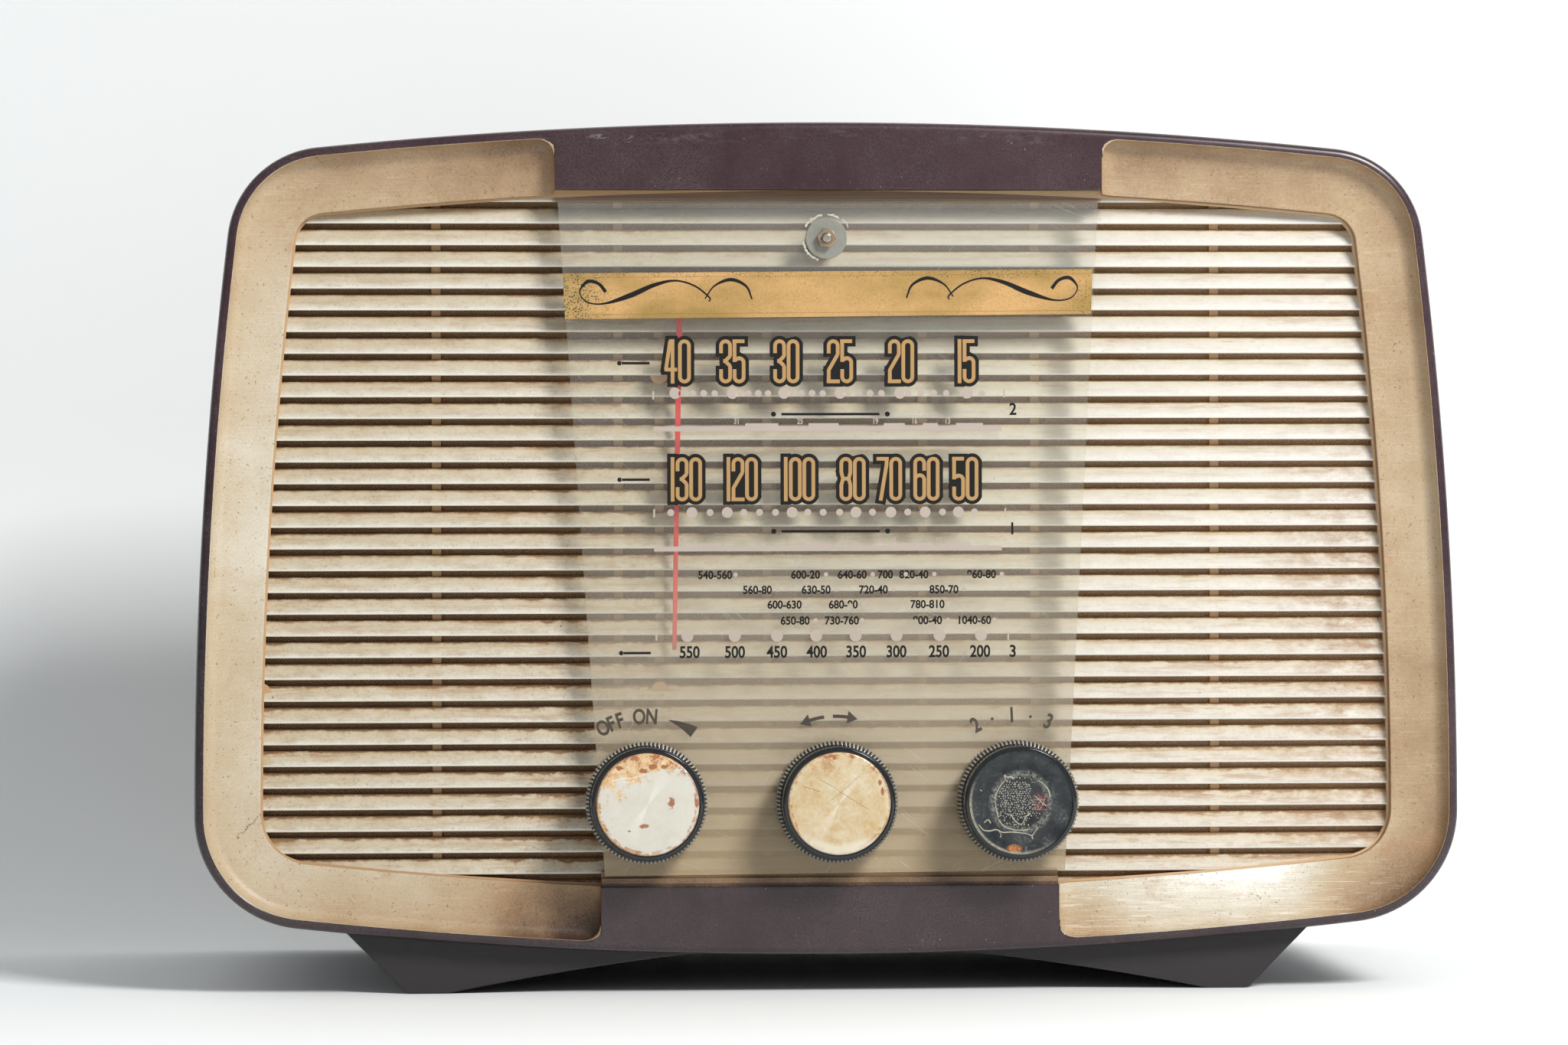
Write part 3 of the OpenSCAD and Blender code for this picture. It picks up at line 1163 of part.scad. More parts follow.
// Dial lamps in their holders, behind the top band
lamp_z = bracket_boss_z + 0.6;
lamp_len = 20;
module dial_lamps() {
    color([0.85, 0.82, 0.7]) place() for (x = [-lamp_x, lamp_x]) {
        rod_y(x, lamp_z, bracket_y - 6, bracket_y + 5, lamp_bush_r);
        rod_y(x, lamp_z, bracket_y - 5.9, bracket_y - 0.1, lamp_r);
        translate([x, bracket_y - 5.9, lamp_z]) rotate([90, 0, 0]) rotate_extrude()
            polygon([[0, 0], [lamp_r, 0], [lamp_r, lamp_len - 9], [lamp_r * 0.8, lamp_len - 6.4],
                [lamp_r * 0.4, lamp_len - 5], [0, lamp_len - 4.6]]);
    }
}

// Back: sockets, lead bush, cover and screws
module socket_strip() {
    color([0.45, 0.3, 0.18]) place() difference() {
        union() {
            box(socket_x - 22, socket_x + 22, chassis_back + seat_clear, chassis_back + 1.8, socket_z - 9, socket_z + 9);
            for (s = [-1, 1])
                rod_y(socket_x + s * socket_gap / 2, socket_z, chassis_back - 5, cover_y + cover_t - 1, 3.4);
        }
        for (s = [-1, 1])
            rod_y(socket_x + s * socket_gap / 2, socket_z, chassis_back - 3, cover_y + cover_t, socket_bore_r);
    }
}
module mains_grommet() {
    color([0.14, 0.14, 0.14]) place() translate([lead_x, cover_y, socket_z]) rotate([-90, 0, 0])
        rotate_extrude() polygon([[lead_bore_r, -2], [8.5, -2], [8.5, -0.15], [5.9, -0.15], [5.9, cover_t + 0.15],
            [8.5, cover_t + 0.15], [8.5, cover_t + 0.5], [8, cover_t + 0.8], [lead_bore_r, cover_t + 0.8]]);
}
vent_w = 4;
vent_h = 24;
module vent(x, z) {
    translate([x - vent_w / 2, z - vent_h / 2]) square([vent_w, vent_h]);
    for (s = [-1, 1])
        translate([x, z + s * vent_h / 2]) circle(r = vent_w / 2);
}
module back_cover() {
    color([0.42, 0.3, 0.2]) place() slab_y(cover_y, cover_y + cover_t) difference() {
        polygon(flat_outline(cover_inset, cover_y + cover_t));
        for (p = cover_bosses)
            translate(p) circle(r = cover_screw_r + 0.4);
        for (i = [-7 : 7]) {
            vent(i * 20, top_z - 52);
            vent(i * 20, top_z - 90);
        }
        for (i = [-3 : 3])
            vent(i * 14 - 10, foot_h + 34);
        translate([socket_x - 17, socket_z - 7]) square([34, 14]);
        translate([lead_x, socket_z]) circle(r = 6);
    }
}
module back_screws() {
    color([0.66, 0.62, 0.5]) place() for (p = cover_bosses)
        screw_y(p[0], p[1], cover_y + cover_t, cover_screw_len, cover_screw_r - 0.1, 0.75);
}

cabinet();
louvre_panel();
panel_screws();
left_foot();
right_foot();
dial_plate();
dial_stud();
dial_washer();
dial_nut();
pointer();
pointer_carriage();
carriage_rail();
drive_bracket();
left_pulley();
right_pulley();
cord_drum();
cord_spring();
pointer_cord();
drive_cord();
tuning_spindle();
spindle_bush();
tuning_knob();
tuning_disc();
volume_knob();
volume_disc();
volume_spindle();
volume_control();
band_knob();
band_spindle();
band_switch();
control_nuts();
gang_frame();
gang_stators();
gang_insulators();
gang_rotor();
speaker_frame();
speaker_magnet();
speaker_cone();
baffle_board();
speaker_cloth();
chassis();
chassis_bolts();
mains_transformer();
output_transformer();
transformer_windings();
smoothing_capacitor();
if_cans();
frequency_changer();
if_amplifier();
detector_valve();
output_valve();
rectifier_valve();
valve_electrodes();
valve_holders();
tag_board();
dial_lamps();
socket_strip();
mains_grommet();
back_cover();
back_screws();
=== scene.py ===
import contextlib
import json
import math
import random

import bmesh
import bpy
import numpy as np
from mathutils import Matrix, Vector
from mathutils.geometry import delaunay_2d_cdt


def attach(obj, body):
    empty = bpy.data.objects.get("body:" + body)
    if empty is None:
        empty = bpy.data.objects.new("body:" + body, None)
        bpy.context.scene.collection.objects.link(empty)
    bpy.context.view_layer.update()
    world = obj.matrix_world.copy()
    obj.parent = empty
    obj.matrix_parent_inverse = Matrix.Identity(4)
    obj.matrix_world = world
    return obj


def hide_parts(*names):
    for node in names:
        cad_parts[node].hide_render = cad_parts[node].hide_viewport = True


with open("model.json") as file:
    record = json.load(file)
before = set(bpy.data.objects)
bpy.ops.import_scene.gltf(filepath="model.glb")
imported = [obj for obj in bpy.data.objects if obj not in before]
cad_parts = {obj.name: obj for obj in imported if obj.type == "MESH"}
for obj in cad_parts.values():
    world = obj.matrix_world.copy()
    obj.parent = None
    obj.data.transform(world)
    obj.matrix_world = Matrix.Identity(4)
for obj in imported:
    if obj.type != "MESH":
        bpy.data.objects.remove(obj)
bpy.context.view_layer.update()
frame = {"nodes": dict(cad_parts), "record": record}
cad_nodes = frame["nodes"]

MM = 0.001
# The shapes below are in millimetres with the cabinet's rim at y = 0.
# The row's origin lies this far behind it
RIM_BACK = 91.25

bodies = frame["record"]["behaviour"]["bodies"]
body_of_node = {node: body for body, nodes in bodies.items() for node in nodes}
slot_of_node = {part["node"]: part["material_slot"] for part in frame["record"]["subparts"]}


def place_camera():
    """Stands the camera at the photograph's place."""
    yaw, pitch, roll = 0.0616, -0.00389, -0.002367
    forward = Vector((math.sin(yaw) * math.cos(pitch), math.cos(yaw) * math.cos(pitch), math.sin(pitch)))
    level = Vector((math.cos(yaw), -math.sin(yaw), 0))
    upright = level.cross(forward)
    right = math.cos(roll) * level + math.sin(roll) * upright
    up = math.cos(roll) * upright - math.sin(roll) * level
    camera = bpy.data.objects.new("camera", bpy.data.cameras.new("camera"))
    camera.data.sensor_width = 36
    camera.data.lens = 129.36
    camera.data.clip_end = 50
    turn = Matrix((right, up, -forward)).transposed().to_4x4()
    camera.matrix_world = Matrix.Translation((-0.13003, -1.95208, 0.163095)) @ turn
    bpy.context.scene.collection.objects.link(camera)
    bpy.context.scene.camera = camera


place_camera()


# Shader and geometry trees
class Socket:
    """A node's output that can be used in plain sums."""

    def __init__(self, graph, output):
        self.graph = graph
        self.output = output

    def maths(self, operation, *values, clamp=False):
        settings = {"operation": operation, "use_clamp": clamp}
        return self.graph.add("ShaderNodeMath", settings, dict(enumerate(values)))

    def __add__(self, other):
        return self.maths("ADD", self, other)

    __radd__ = __add__

    def __sub__(self, other):
        return self.maths("SUBTRACT", self, other)

    def __rsub__(self, other):
        return self.maths("SUBTRACT", other, self)

    def __mul__(self, other):
        return self.maths("MULTIPLY", self, other)

    def __truediv__(self, other):
        return self.maths("DIVIDE", self, other)

    def of(self, operation, *others):
        return self.maths(operation, self, *others)

    def size(self):
        return self.of("ABSOLUTE")

    def above(self, edge, width):
        """0 below the edge, 1 above it, rising over the width."""
        return self.maths("MULTIPLY_ADD", self, 1 / width, 0.5 - edge / width, clamp=True)

    def below(self, edge, width):
        return self.maths("MULTIPLY_ADD", self, -1 / width, 0.5 + edge / width, clamp=True)

    def held(self):
        """The value kept between 0 and 1."""
        return self.maths("ADD", self, 0.0, clamp=True)


def tint(red, green, blue):
    """A colour as it is seen, 0 to 255, turned into the renderer's own numbers."""
    def linear(c):
        c /= 255
        return c / 12.92 if c <= 0.04045 else ((c + 0.055) / 1.055) ** 2.4
    return (linear(red), linear(green), linear(blue), 1.0)


class Graph:
    """A node tree that grows from expressions."""

    def __init__(self, tree):
        self.tree = tree

    def add(self, kind, settings=None, values=None, output=0):
        """Adds a node; a colour of three numbers is one as it is seen."""
        node = self.tree.nodes.new(kind)
        for name, value in (settings or {}).items():
            setattr(node, name, value)
        for name, value in (values or {}).items():
            if isinstance(value, Socket):
                self.tree.links.new(value.output, node.inputs[name])
            elif node.inputs[name].type == "RGBA" and len(value) == 3:
                node.inputs[name].default_value = tint(*value)
            else:
                node.inputs[name].default_value = value
        return Socket(self, node.outputs[output]) if node.outputs else None

    def blend(self, amount, first, second):
        """Mixes two colours; the amount is kept between 0 and 1."""
        return self.add("ShaderNodeMix", {"data_type": "RGBA"}, {0: amount, 6: first, 7: second}, 2)

    def over(self, color, *layers):
        """Lays further colours over a first one, each with its own amount."""
        for amount, shade in layers:
            color = self.blend(amount, color, shade)
        return color

    def ramp(self, value, stops):
        """A colour looked up by a value, from places and colours."""
        looked_up = self.add("ShaderNodeValToRGB", {}, {0: value})
        elements = looked_up.output.node.color_ramp.elements
        elements.remove(elements[1])
        elements[0].position = stops[0][0]
        elements[0].color = tint(*stops[0][1])
        for place, color in stops[1:]:
            elements.new(place).color = tint(*color)
        return looked_up

    def parts(self, vector):
        return [self.add("ShaderNodeSeparateXYZ", {}, {0: vector}, i) for i in range(3)]

    def joined(self, x, y, z):
        return self.add("ShaderNodeCombineXYZ", {}, {0: x, 1: y, 2: z})

    def stretched(self, vector, scale, centre=(0, 0, 0)):
        shift = tuple(-c * s for c, s in zip(centre, scale))
        return self.add("ShaderNodeMapping", {}, {"Vector": vector, "Location": shift, "Scale": scale})

    def ray(self, kind):
        return self.add("ShaderNodeLightPath", output=kind)

    def either(self, amount, first, second):
        return self.add("ShaderNodeMixShader", {}, {0: amount, 1: first, 2: second})


class Finish(Graph):
    """A material in the making, with the place on its piece."""

    def __init__(self, name):
        self.material = bpy.data.materials.new(name)
        self.material.use_nodes = True
        self.material.node_tree.nodes.clear()
        super().__init__(self.material.node_tree)
        self.place = self.add("ShaderNodeTexCoord", output="Object")

    def noise(self, where, detail, roughness, distortion=0.0):
        """Noise at one scale, at a scale for each axis, or at places of its own."""
        if isinstance(where, tuple):
            where = self.stretched(self.place, where)
        own = isinstance(where, Socket)
        return self.add("ShaderNodeTexNoise", {}, {
            "Vector": where if own else self.place, "Scale": 1.0 if own else where, "Detail": detail,
            "Roughness": roughness, "Distortion": distortion})

    def attribute(self, name):
        return self.add("ShaderNodeAttribute", {"attribute_name": name}, {}, "Fac")

    def on_knob(self, name):
        """The place counted from a knob's middle, its x and z, and its distance from there."""
        local = self.stretched(self.place, (1, 1, 1), (KNOB_PLACES[name] * MM, 0, CONTROL_Z * MM))
        x, _, z = self.parts(local)
        return local, x, z, (x * x + z * z).of("SQRT")

    def clear(self, color=(1.0, 1.0, 1.0, 1.0)):
        return self.add("ShaderNodeBsdfTransparent", {}, {"Color": color})

    def skin(self, color, roughness, height=None, depth=0.0, **more):
        """The plain shader, bumped where a height is given."""
        values = {"Base Color": color, "Roughness": roughness}
        if height is not None:
            bump = {"Height": height, "Distance": depth, "Strength": 1.0}
            values["Normal"] = self.add("ShaderNodeBump", {}, bump)
        values.update({name.replace("_", " "): value for name, value in more.items()})
        return self.add("ShaderNodeBsdfPrincipled", {}, values)

    def shown(self, shader):
        self.add("ShaderNodeOutputMaterial", {}, {"Surface": shader})
        return self.material

    def made(self, color, roughness, height, depth, **more):
        return self.shown(self.skin(color, roughness, height, depth, **more))


# The cabinet's outline: four wide bows joined by four corners
HALF_WIDTH = 210.0
FOOT_HEIGHT = 12.6
TOP_Z = FOOT_HEIGHT + 276.1
DEPTH = 200.0
WALL = 4.0
TOP_BOW, BOTTOM_BOW, SIDE_BOW = 1676.0, 1612.0, 1602.0
TOP_CORNER, BOTTOM_CORNER = 33.0, 37.5
TOP_CENTRE = np.array([0.0, TOP_Z - TOP_BOW])
BOTTOM_CENTRE = np.array([0.0, FOOT_HEIGHT + BOTTOM_BOW])
SIDE_CENTRE = np.array([HALF_WIDTH - SIDE_BOW, 60.0])
NARROWING = 4.2
RIM = 3.3
TROUGH = 7.0
LIP_SIDE, LIP_TOP, LIP_BOTTOM = 21.6, 21.3, 21.1
LIP_TOP_CORNER, LIP_BOTTOM_CORNER = 10.5, 16.5
TOP_BAND_HALF, BOTTOM_BAND_HALF = 90.7, 76.0
TOP_BAND_EDGE = TOP_Z - 22.6
OPENING_BOTTOM = FOOT_HEIGHT + 22.8
BAND_STEP = 0.3
ARM_END = 6.0
ARM_STEPS = [0, 0.25, 0.7, 1.4, 2.3, 3.4, 4.6, ARM_END]
# Distance past the band's end given to points on the bands and far out on the arms
ON_BAND, FAR_OUT = -1, 99
LIP_BACK = TROUGH + 3.5
PANEL_FRONT = LIP_BACK + 0.1
RIB_BACK = PANEL_FRONT + 5.4
FIRST_SLAT = TOP_Z - 26.3
PITCH = 7.2
PLATE_FRONT = 1.0
PLATE_BACK = 3.0
KNOB_BACK = PLATE_FRONT - 2
KNOB_FRONT = KNOB_BACK - 16.5
CONTROL_Z = 63.6
KNOB_PLACES = {"volume": -61.2, "tuning": 1.7, "band": 61.6}


def circles_meet(c1, r1, c2, r2):
    """The right-hand point where two circles cross."""
    gap = np.linalg.norm(c2 - c1)
    along = (c2 - c1) / gap
    a = (r1 * r1 - r2 * r2 + gap * gap) / (2 * gap)
    h = math.sqrt(r1 * r1 - a * a)
    across = np.array([-along[1], along[0]])
    return max([c1 + a * along + h * across, c1 + a * along - h * across], key=lambda p: p[0])


def heading(v):
    return math.atan2(v[1], v[0])


def side_x(z, inside):
    return SIDE_CENTRE[0] + math.sqrt((SIDE_BOW - inside) ** 2 - (z - SIDE_CENTRE[1]) ** 2)


def top_at(x, inside):
    return TOP_CENTRE[1] + math.sqrt((TOP_BOW - inside) ** 2 - x * x)


def bottom_at(x, inside):
    return BOTTOM_CENTRE[1] - math.sqrt((BOTTOM_BOW - inside) ** 2 - x * x)


def end_cut(d, end_r):
    """How far the round end of a trough's arm stands inside the cabinet, d past the band's end."""
    if end_r == 0 or d >= end_r:
        return 0.0
    return RIM + end_r - math.sqrt(end_r ** 2 - (end_r - d) ** 2)


def half_outline(side, top, bottom, top_corner, bottom_corner, end_r=0.0, corner_n=22, side_n=26, arm_n=14):
    """The right half of an outline inside the cabinet's own: x, z, way past the band, upper or lower half."""
    kt = circles_meet(TOP_CENTRE, TOP_BOW - top - top_corner, SIDE_CENTRE, SIDE_BOW - side - top_corner)
    kb = circles_meet(BOTTOM_CENTRE, BOTTOM_BOW - bottom - bottom_corner, SIDE_CENTRE,
                      SIDE_BOW - side - bottom_corner)
    points = []

    def corner(middle, r, start, stop, upper):
        for a in (start + (stop - start) * i / corner_n for i in range(corner_n + 1)):
            points.append((middle[0] + r * math.cos(a), middle[1] + r * math.sin(a), FAR_OUT, upper))
        return points[-1]

    def between(start, stop, n):
        return [start + (stop - start) * i / (n + 1) for i in range(1, n + 1)]

    t0, b0 = TOP_BAND_HALF + BAND_STEP, BOTTOM_BAND_HALF + BAND_STEP
    points += [(x, top_at(x, top), ON_BAND, 1) for x in np.linspace(0, 1, 9) * TOP_BAND_HALF]
    points += [(t0 + d, top_at(t0 + d, max(top, end_cut(d, end_r))), d, 1) for d in ARM_STEPS]
    turn = heading(kt - TOP_CENTRE)
    points += [(x, top_at(x, top), FAR_OUT, 1)
               for x in between(t0 + ARM_END, kt[0] + top_corner * math.cos(turn), arm_n)]
    z1 = corner(kt, top_corner, turn, heading(kt - SIDE_CENTRE), 1)[1]
    turn = heading(kb - SIDE_CENTRE)
    z2 = kb[1] + bottom_corner * math.sin(turn)
    points += [(side_x(z, side), z, FAR_OUT, 1) for z in between(z1, z2, side_n)]
    x1 = corner(kb, bottom_corner, turn, heading(kb - BOTTOM_CENTRE), -1)[0]
    points += [(x, bottom_at(x, bottom), FAR_OUT, -1) for x in between(x1, b0 + ARM_END, arm_n)]
    points += [(b0 + d, bottom_at(b0 + d, max(bottom, end_cut(d, end_r))), d, -1)
               for d in reversed(ARM_STEPS)]
    points += [(x, bottom_at(x, bottom), ON_BAND, -1) for x in np.linspace(1, 0, 9) * BOTTOM_BAND_HALF]
    return points


def both_halves(half):
    return half + [(-p[0],) + tuple(p[1:]) for p in half[-2:0:-1]]


def at_depth(x, z, y):
    """The cabinet narrows to the back, and its bottom stays on one bow."""
    k = 1 - NARROWING / HALF_WIDTH * y / DEPTH
    return (x * k, y, FOOT_HEIGHT + (z - FOOT_HEIGHT) * k * k)


def lip_outline(grow, y, **counts):
    """The opening's outline at a depth, grown all round."""
    half = half_outline(LIP_SIDE - grow, LIP_TOP - grow, LIP_BOTTOM - grow, LIP_TOP_CORNER + grow,
                        LIP_BOTTOM_CORNER + grow, **counts)
    return [at_depth(p[0], p[1], y)[::2] for p in both_halves(half)]


# Mesh making, in millimetres
def to_row(point):
    return (point[0] * MM, (point[1] - RIM_BACK) * MM, point[2] * MM)


def circle(x, z, r, n):
    return [(x + r * math.cos(2 * math.pi * i / n), z + r * math.sin(2 * math.pi * i / n)) for i in range(n)]


def rect_loop(x1, x2, z1, z2):
    return [(x1, z1), (x2, z1), (x2, z2), (x1, z2)]


@contextlib.contextmanager
def mesh_work(result, *sources):
    """Opens meshes for work as one, and puts what becomes of them into the result."""
    work = bmesh.new()
    for source in sources:
        work.from_mesh(source)
    yield work
    work.to_mesh(result)
    work.free()


def new_object(name, mesh, material, angle=32.0):
    mesh.materials.clear()
    mesh.materials.append(material)
    mesh.polygons.foreach_set("use_smooth", [True] * len(mesh.polygons))
    mesh.set_sharp_from_angle(angle=math.radians(angle))
    piece = bpy.data.objects.new(name, mesh)
    bpy.context.scene.collection.objects.link(piece)
    return piece


def evaluated(source):
    """The mesh that an object makes; the object itself goes."""
    mesh = bpy.data.meshes.new_from_object(source.evaluated_get(bpy.context.evaluated_depsgraph_get()))
    bpy.data.objects.remove(source)
    return mesh


already_made = set()


def settle(piece, body="set", stands_for=()):
    """Attaches a finished piece to its body, and hides the parts that it stands for."""
    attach(piece, body)
    if stands_for:
        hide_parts(*stands_for)
        already_made.update(stands_for)


class Shape:
    """Points and faces of one piece, gathered from several closed forms."""

    def __init__(self):
        self.points = []
        self.faces = []
        self.marks = {}

    def take(self, points, faces, **marks):
        start = len(self.points)
        self.points += [tuple(p) for p in points]
        self.faces += [tuple(start + i for i in face) for face in faces]
        for name in set(self.marks) | set(marks):
            values = self.marks.setdefault(name, [0.0] * start)
            values += list(marks.get(name, [0.0] * len(points)))

    def rings(self, rings, closed=False, **marks):
        """A skin through rings of equal length; a closed one joins its last ring to its first."""
        n, m = len(rings[0]), len(rings)
        faces = []
        for j in range(m if closed else m - 1):
            here, there = j * n, (j + 1) % m * n
            for i in range(n):
                after = (i + 1) % n
                faces.append((here + i, here + after, there + after, there + i))
        if not closed:
            faces.append(tuple(range(n)))
            faces.append(tuple(range((m - 1) * n, m * n))[::-1])
        self.take([p for ring in rings for p in ring], faces, **marks)

    def spun(self, x, z, profile, n=64, closed=False):
        """A profile of (y, radius) turned about a line along y. An open profile ends on the line."""
        self.rings([[(px, y, pz) for px, pz in circle(x, z, max(r, 0.001), n)] for y, r in profile], closed)

    def slab(self, outline, y1, y2, **marks):
        marks = {name: [value] * len(outline) * 2 for name, value in marks.items()}
        self.rings([[(x, y, z) for x, z in outline] for y in (y1, y2)], **marks)

    def block(self, x1, x2, y1, y2, z1, z2, **marks):
        self.slab(rect_loop(x1, x2, z1, z2), y1, y2, **marks)

    def frame_slab(self, outer, inner, y1, y2):
        """A flat ring between two outlines of equal length."""
        self.rings([[(x, y, z) for x, z in outline]
                    for outline, y in ((outer, y1), (outer, y2), (inner, y2), (inner, y1))], closed=True)

    def upright(self, x, y, z1, z2, r, n=24):
        self.rings([[(px, py, z) for px, py in circle(x, y, r, n)] for z in (z1, z2)])

    def piece(self, name, material, angle=32.0):
        mesh = bpy.data.meshes.new(name)
        mesh.from_pydata([to_row(p) for p in self.points], [], self.faces)
        for mark, values in self.marks.items():
            mesh.attributes.new(mark, "FLOAT", "POINT").data.foreach_set("value", values)
        with mesh_work(mesh, mesh) as work:
            bmesh.ops.recalc_face_normals(work, faces=work.faces)
        return new_object(name, mesh, material, angle)


def flat_loops(name, loops, material, front, thick):
    """Closed loops of (x, z), filled between an outer loop and the loops inside it, as a thin solid."""
    corners, rounds = [], []
    for loop in loops:
        rounds.append(list(range(len(corners), len(corners) + len(loop))))
        corners += [Vector(p) for p in loop]
    flat, _, areas, *_ = delaunay_2d_cdt(corners, [], rounds, 5, 1e-5)
    n = len(flat)
    edges = {(a, b) for face in areas for a, b in zip(face, face[1:] + face[:1])}
    rim = [(a, b, b + n, a + n) for a, b in edges if (b, a) not in edges]
    shape = Shape()
    shape.take([(p[0], y, p[1]) for y in (front, front + thick) for p in flat],
               [tuple(face) for face in areas] + [tuple(i + n for i in face[::-1]) for face in areas] + rim)
    return shape.piece(name, material)


# Finishes
# Hairline cracks in the paint: the ends of each, in millimetres
CRACKS = [((-176, 284), (-168, 275)), ((184, 273), (196, 276)), ((-196, 52), (-188, 60))]


def crack(g, start, end):
    """A thin wandering line between two points of the front."""
    x, _, z = g.parts(g.place)
    length = math.dist(start, end)
    ux, uz = (end[0] - start[0]) / length, (end[1] - start[1]) / length
    x, z = x - start[0] * MM, z - start[1] * MM
    along = x * ux + z * uz
    across = z * ux - x * uz + (g.noise(260, 4, 0.7) - 0.5) * 0.006
    return across.size().below(0.00013, 0.0001) * along.above(0, 0.001) * along.below(length * MM, 0.001)


def bakelite_and_paint():
    """Dark maroon moulding, with the cream paint sprayed in its troughs."""
    g = Finish("moulded_case")
    x, y, z = g.parts(g.place)
    cloud = g.noise(18, 4, 0.6)
    top_edge = z - 0.2882 + x * x * 0.268 + 0.0042
    scuff = g.noise((60, 60, 200), 6, 0.8).above(0.56, 0.06) * g.noise(1300, 3, 0.7)
    scuff *= top_edge.size().below(0.0016, 0.002) * y.below(-0.084, 0.006)
    scuff *= (x + 0.0725).size().below(0.007, 0.008) + x.size().below(0.1, 0.04) * 0.22
    dust = g.noise(40, 5, 0.7).above(0.5, 0.4) * g.noise(1500, 3, 0.75).above(0.5, 0.3)
    # Near black along the far left edge: painted shade on the side turned from the lamp
    moulding = g.over(
        (46, 27, 33), (cloud.above(0.5, 0.5), (58, 37, 43)), (z.below(0.06, 0.06) * 0.6, (52, 42, 44)),
        (x.below(-0.2045, 0.006) * 0.75, (20, 11, 13)), (scuff * 0.9, (170, 160, 160)),
        (dust * 0.3, (120, 108, 110)), (g.noise(900, 2, 0.6).above(0.735, 0.03) * 0.5, (165, 155, 150)))
    # Paint: cream, browner where the spray was shaded off and where shade is painted in, paler where a
    # highlight is painted in, then its stains, pits, cracks and wear
    fine = g.noise(1500, 3, 0.7)
    drift = g.attribute("shade") + (g.noise(45, 5, 0.6) - 0.5) * 0.42 + (fine - 0.5) * 0.3
    cream = g.ramp(drift, [
        (0.0, (242, 240, 233)), (0.12, (218, 211, 196)), (0.25, (206, 197, 179)), (0.4, (192, 175, 148)),
        (0.6, (176, 151, 119)), (0.8, (144, 115, 85)), (1.0, (66, 48, 36))])
    brushed = g.noise((90, 90, 2600), 4, 0.7)
    worn_arm = x.above(0.07, 0.02) * z.below(0.04, 0.008)
    paint = g.over(
        cream, (g.noise(34, 6, 0.72, 0.6).above(0.62, 0.08) * 0.34, (166, 122, 82)),
        (g.noise(1100, 2, 0.5).above(0.68, 0.04) * 0.6, (104, 74, 48)),
        (g.noise(330, 3, 0.6).above(0.745, 0.02) * 0.75, (70, 48, 34)),
        *[(crack(g, *ends) * 0.8, (74, 48, 34)) for ends in CRACKS],
        (brushed.above(0.60, 0.1) * (worn_arm * 0.4 + 0.1) * drift.below(0.75, 0.2), (242, 238, 228)),
        (brushed.below(0.42, 0.1) * worn_arm * 0.35, (176, 156, 126)))
    painted = (g.attribute("paint") + (g.noise(700, 4, 0.7) - 0.5) * 0.5).above(0.62, 0.06)
    roughness = painted * 0.2 + 0.27 + (cloud - 0.5) * 0.12 + worn_arm * painted * 0.12
    return g.made(g.blend(painted, moulding, paint), roughness, fine * 0.4 * painted + painted * 0.6, 0.00006)


# The share of the louvres' pitch that one slat's face covers
FACE_SHARE = 0.736


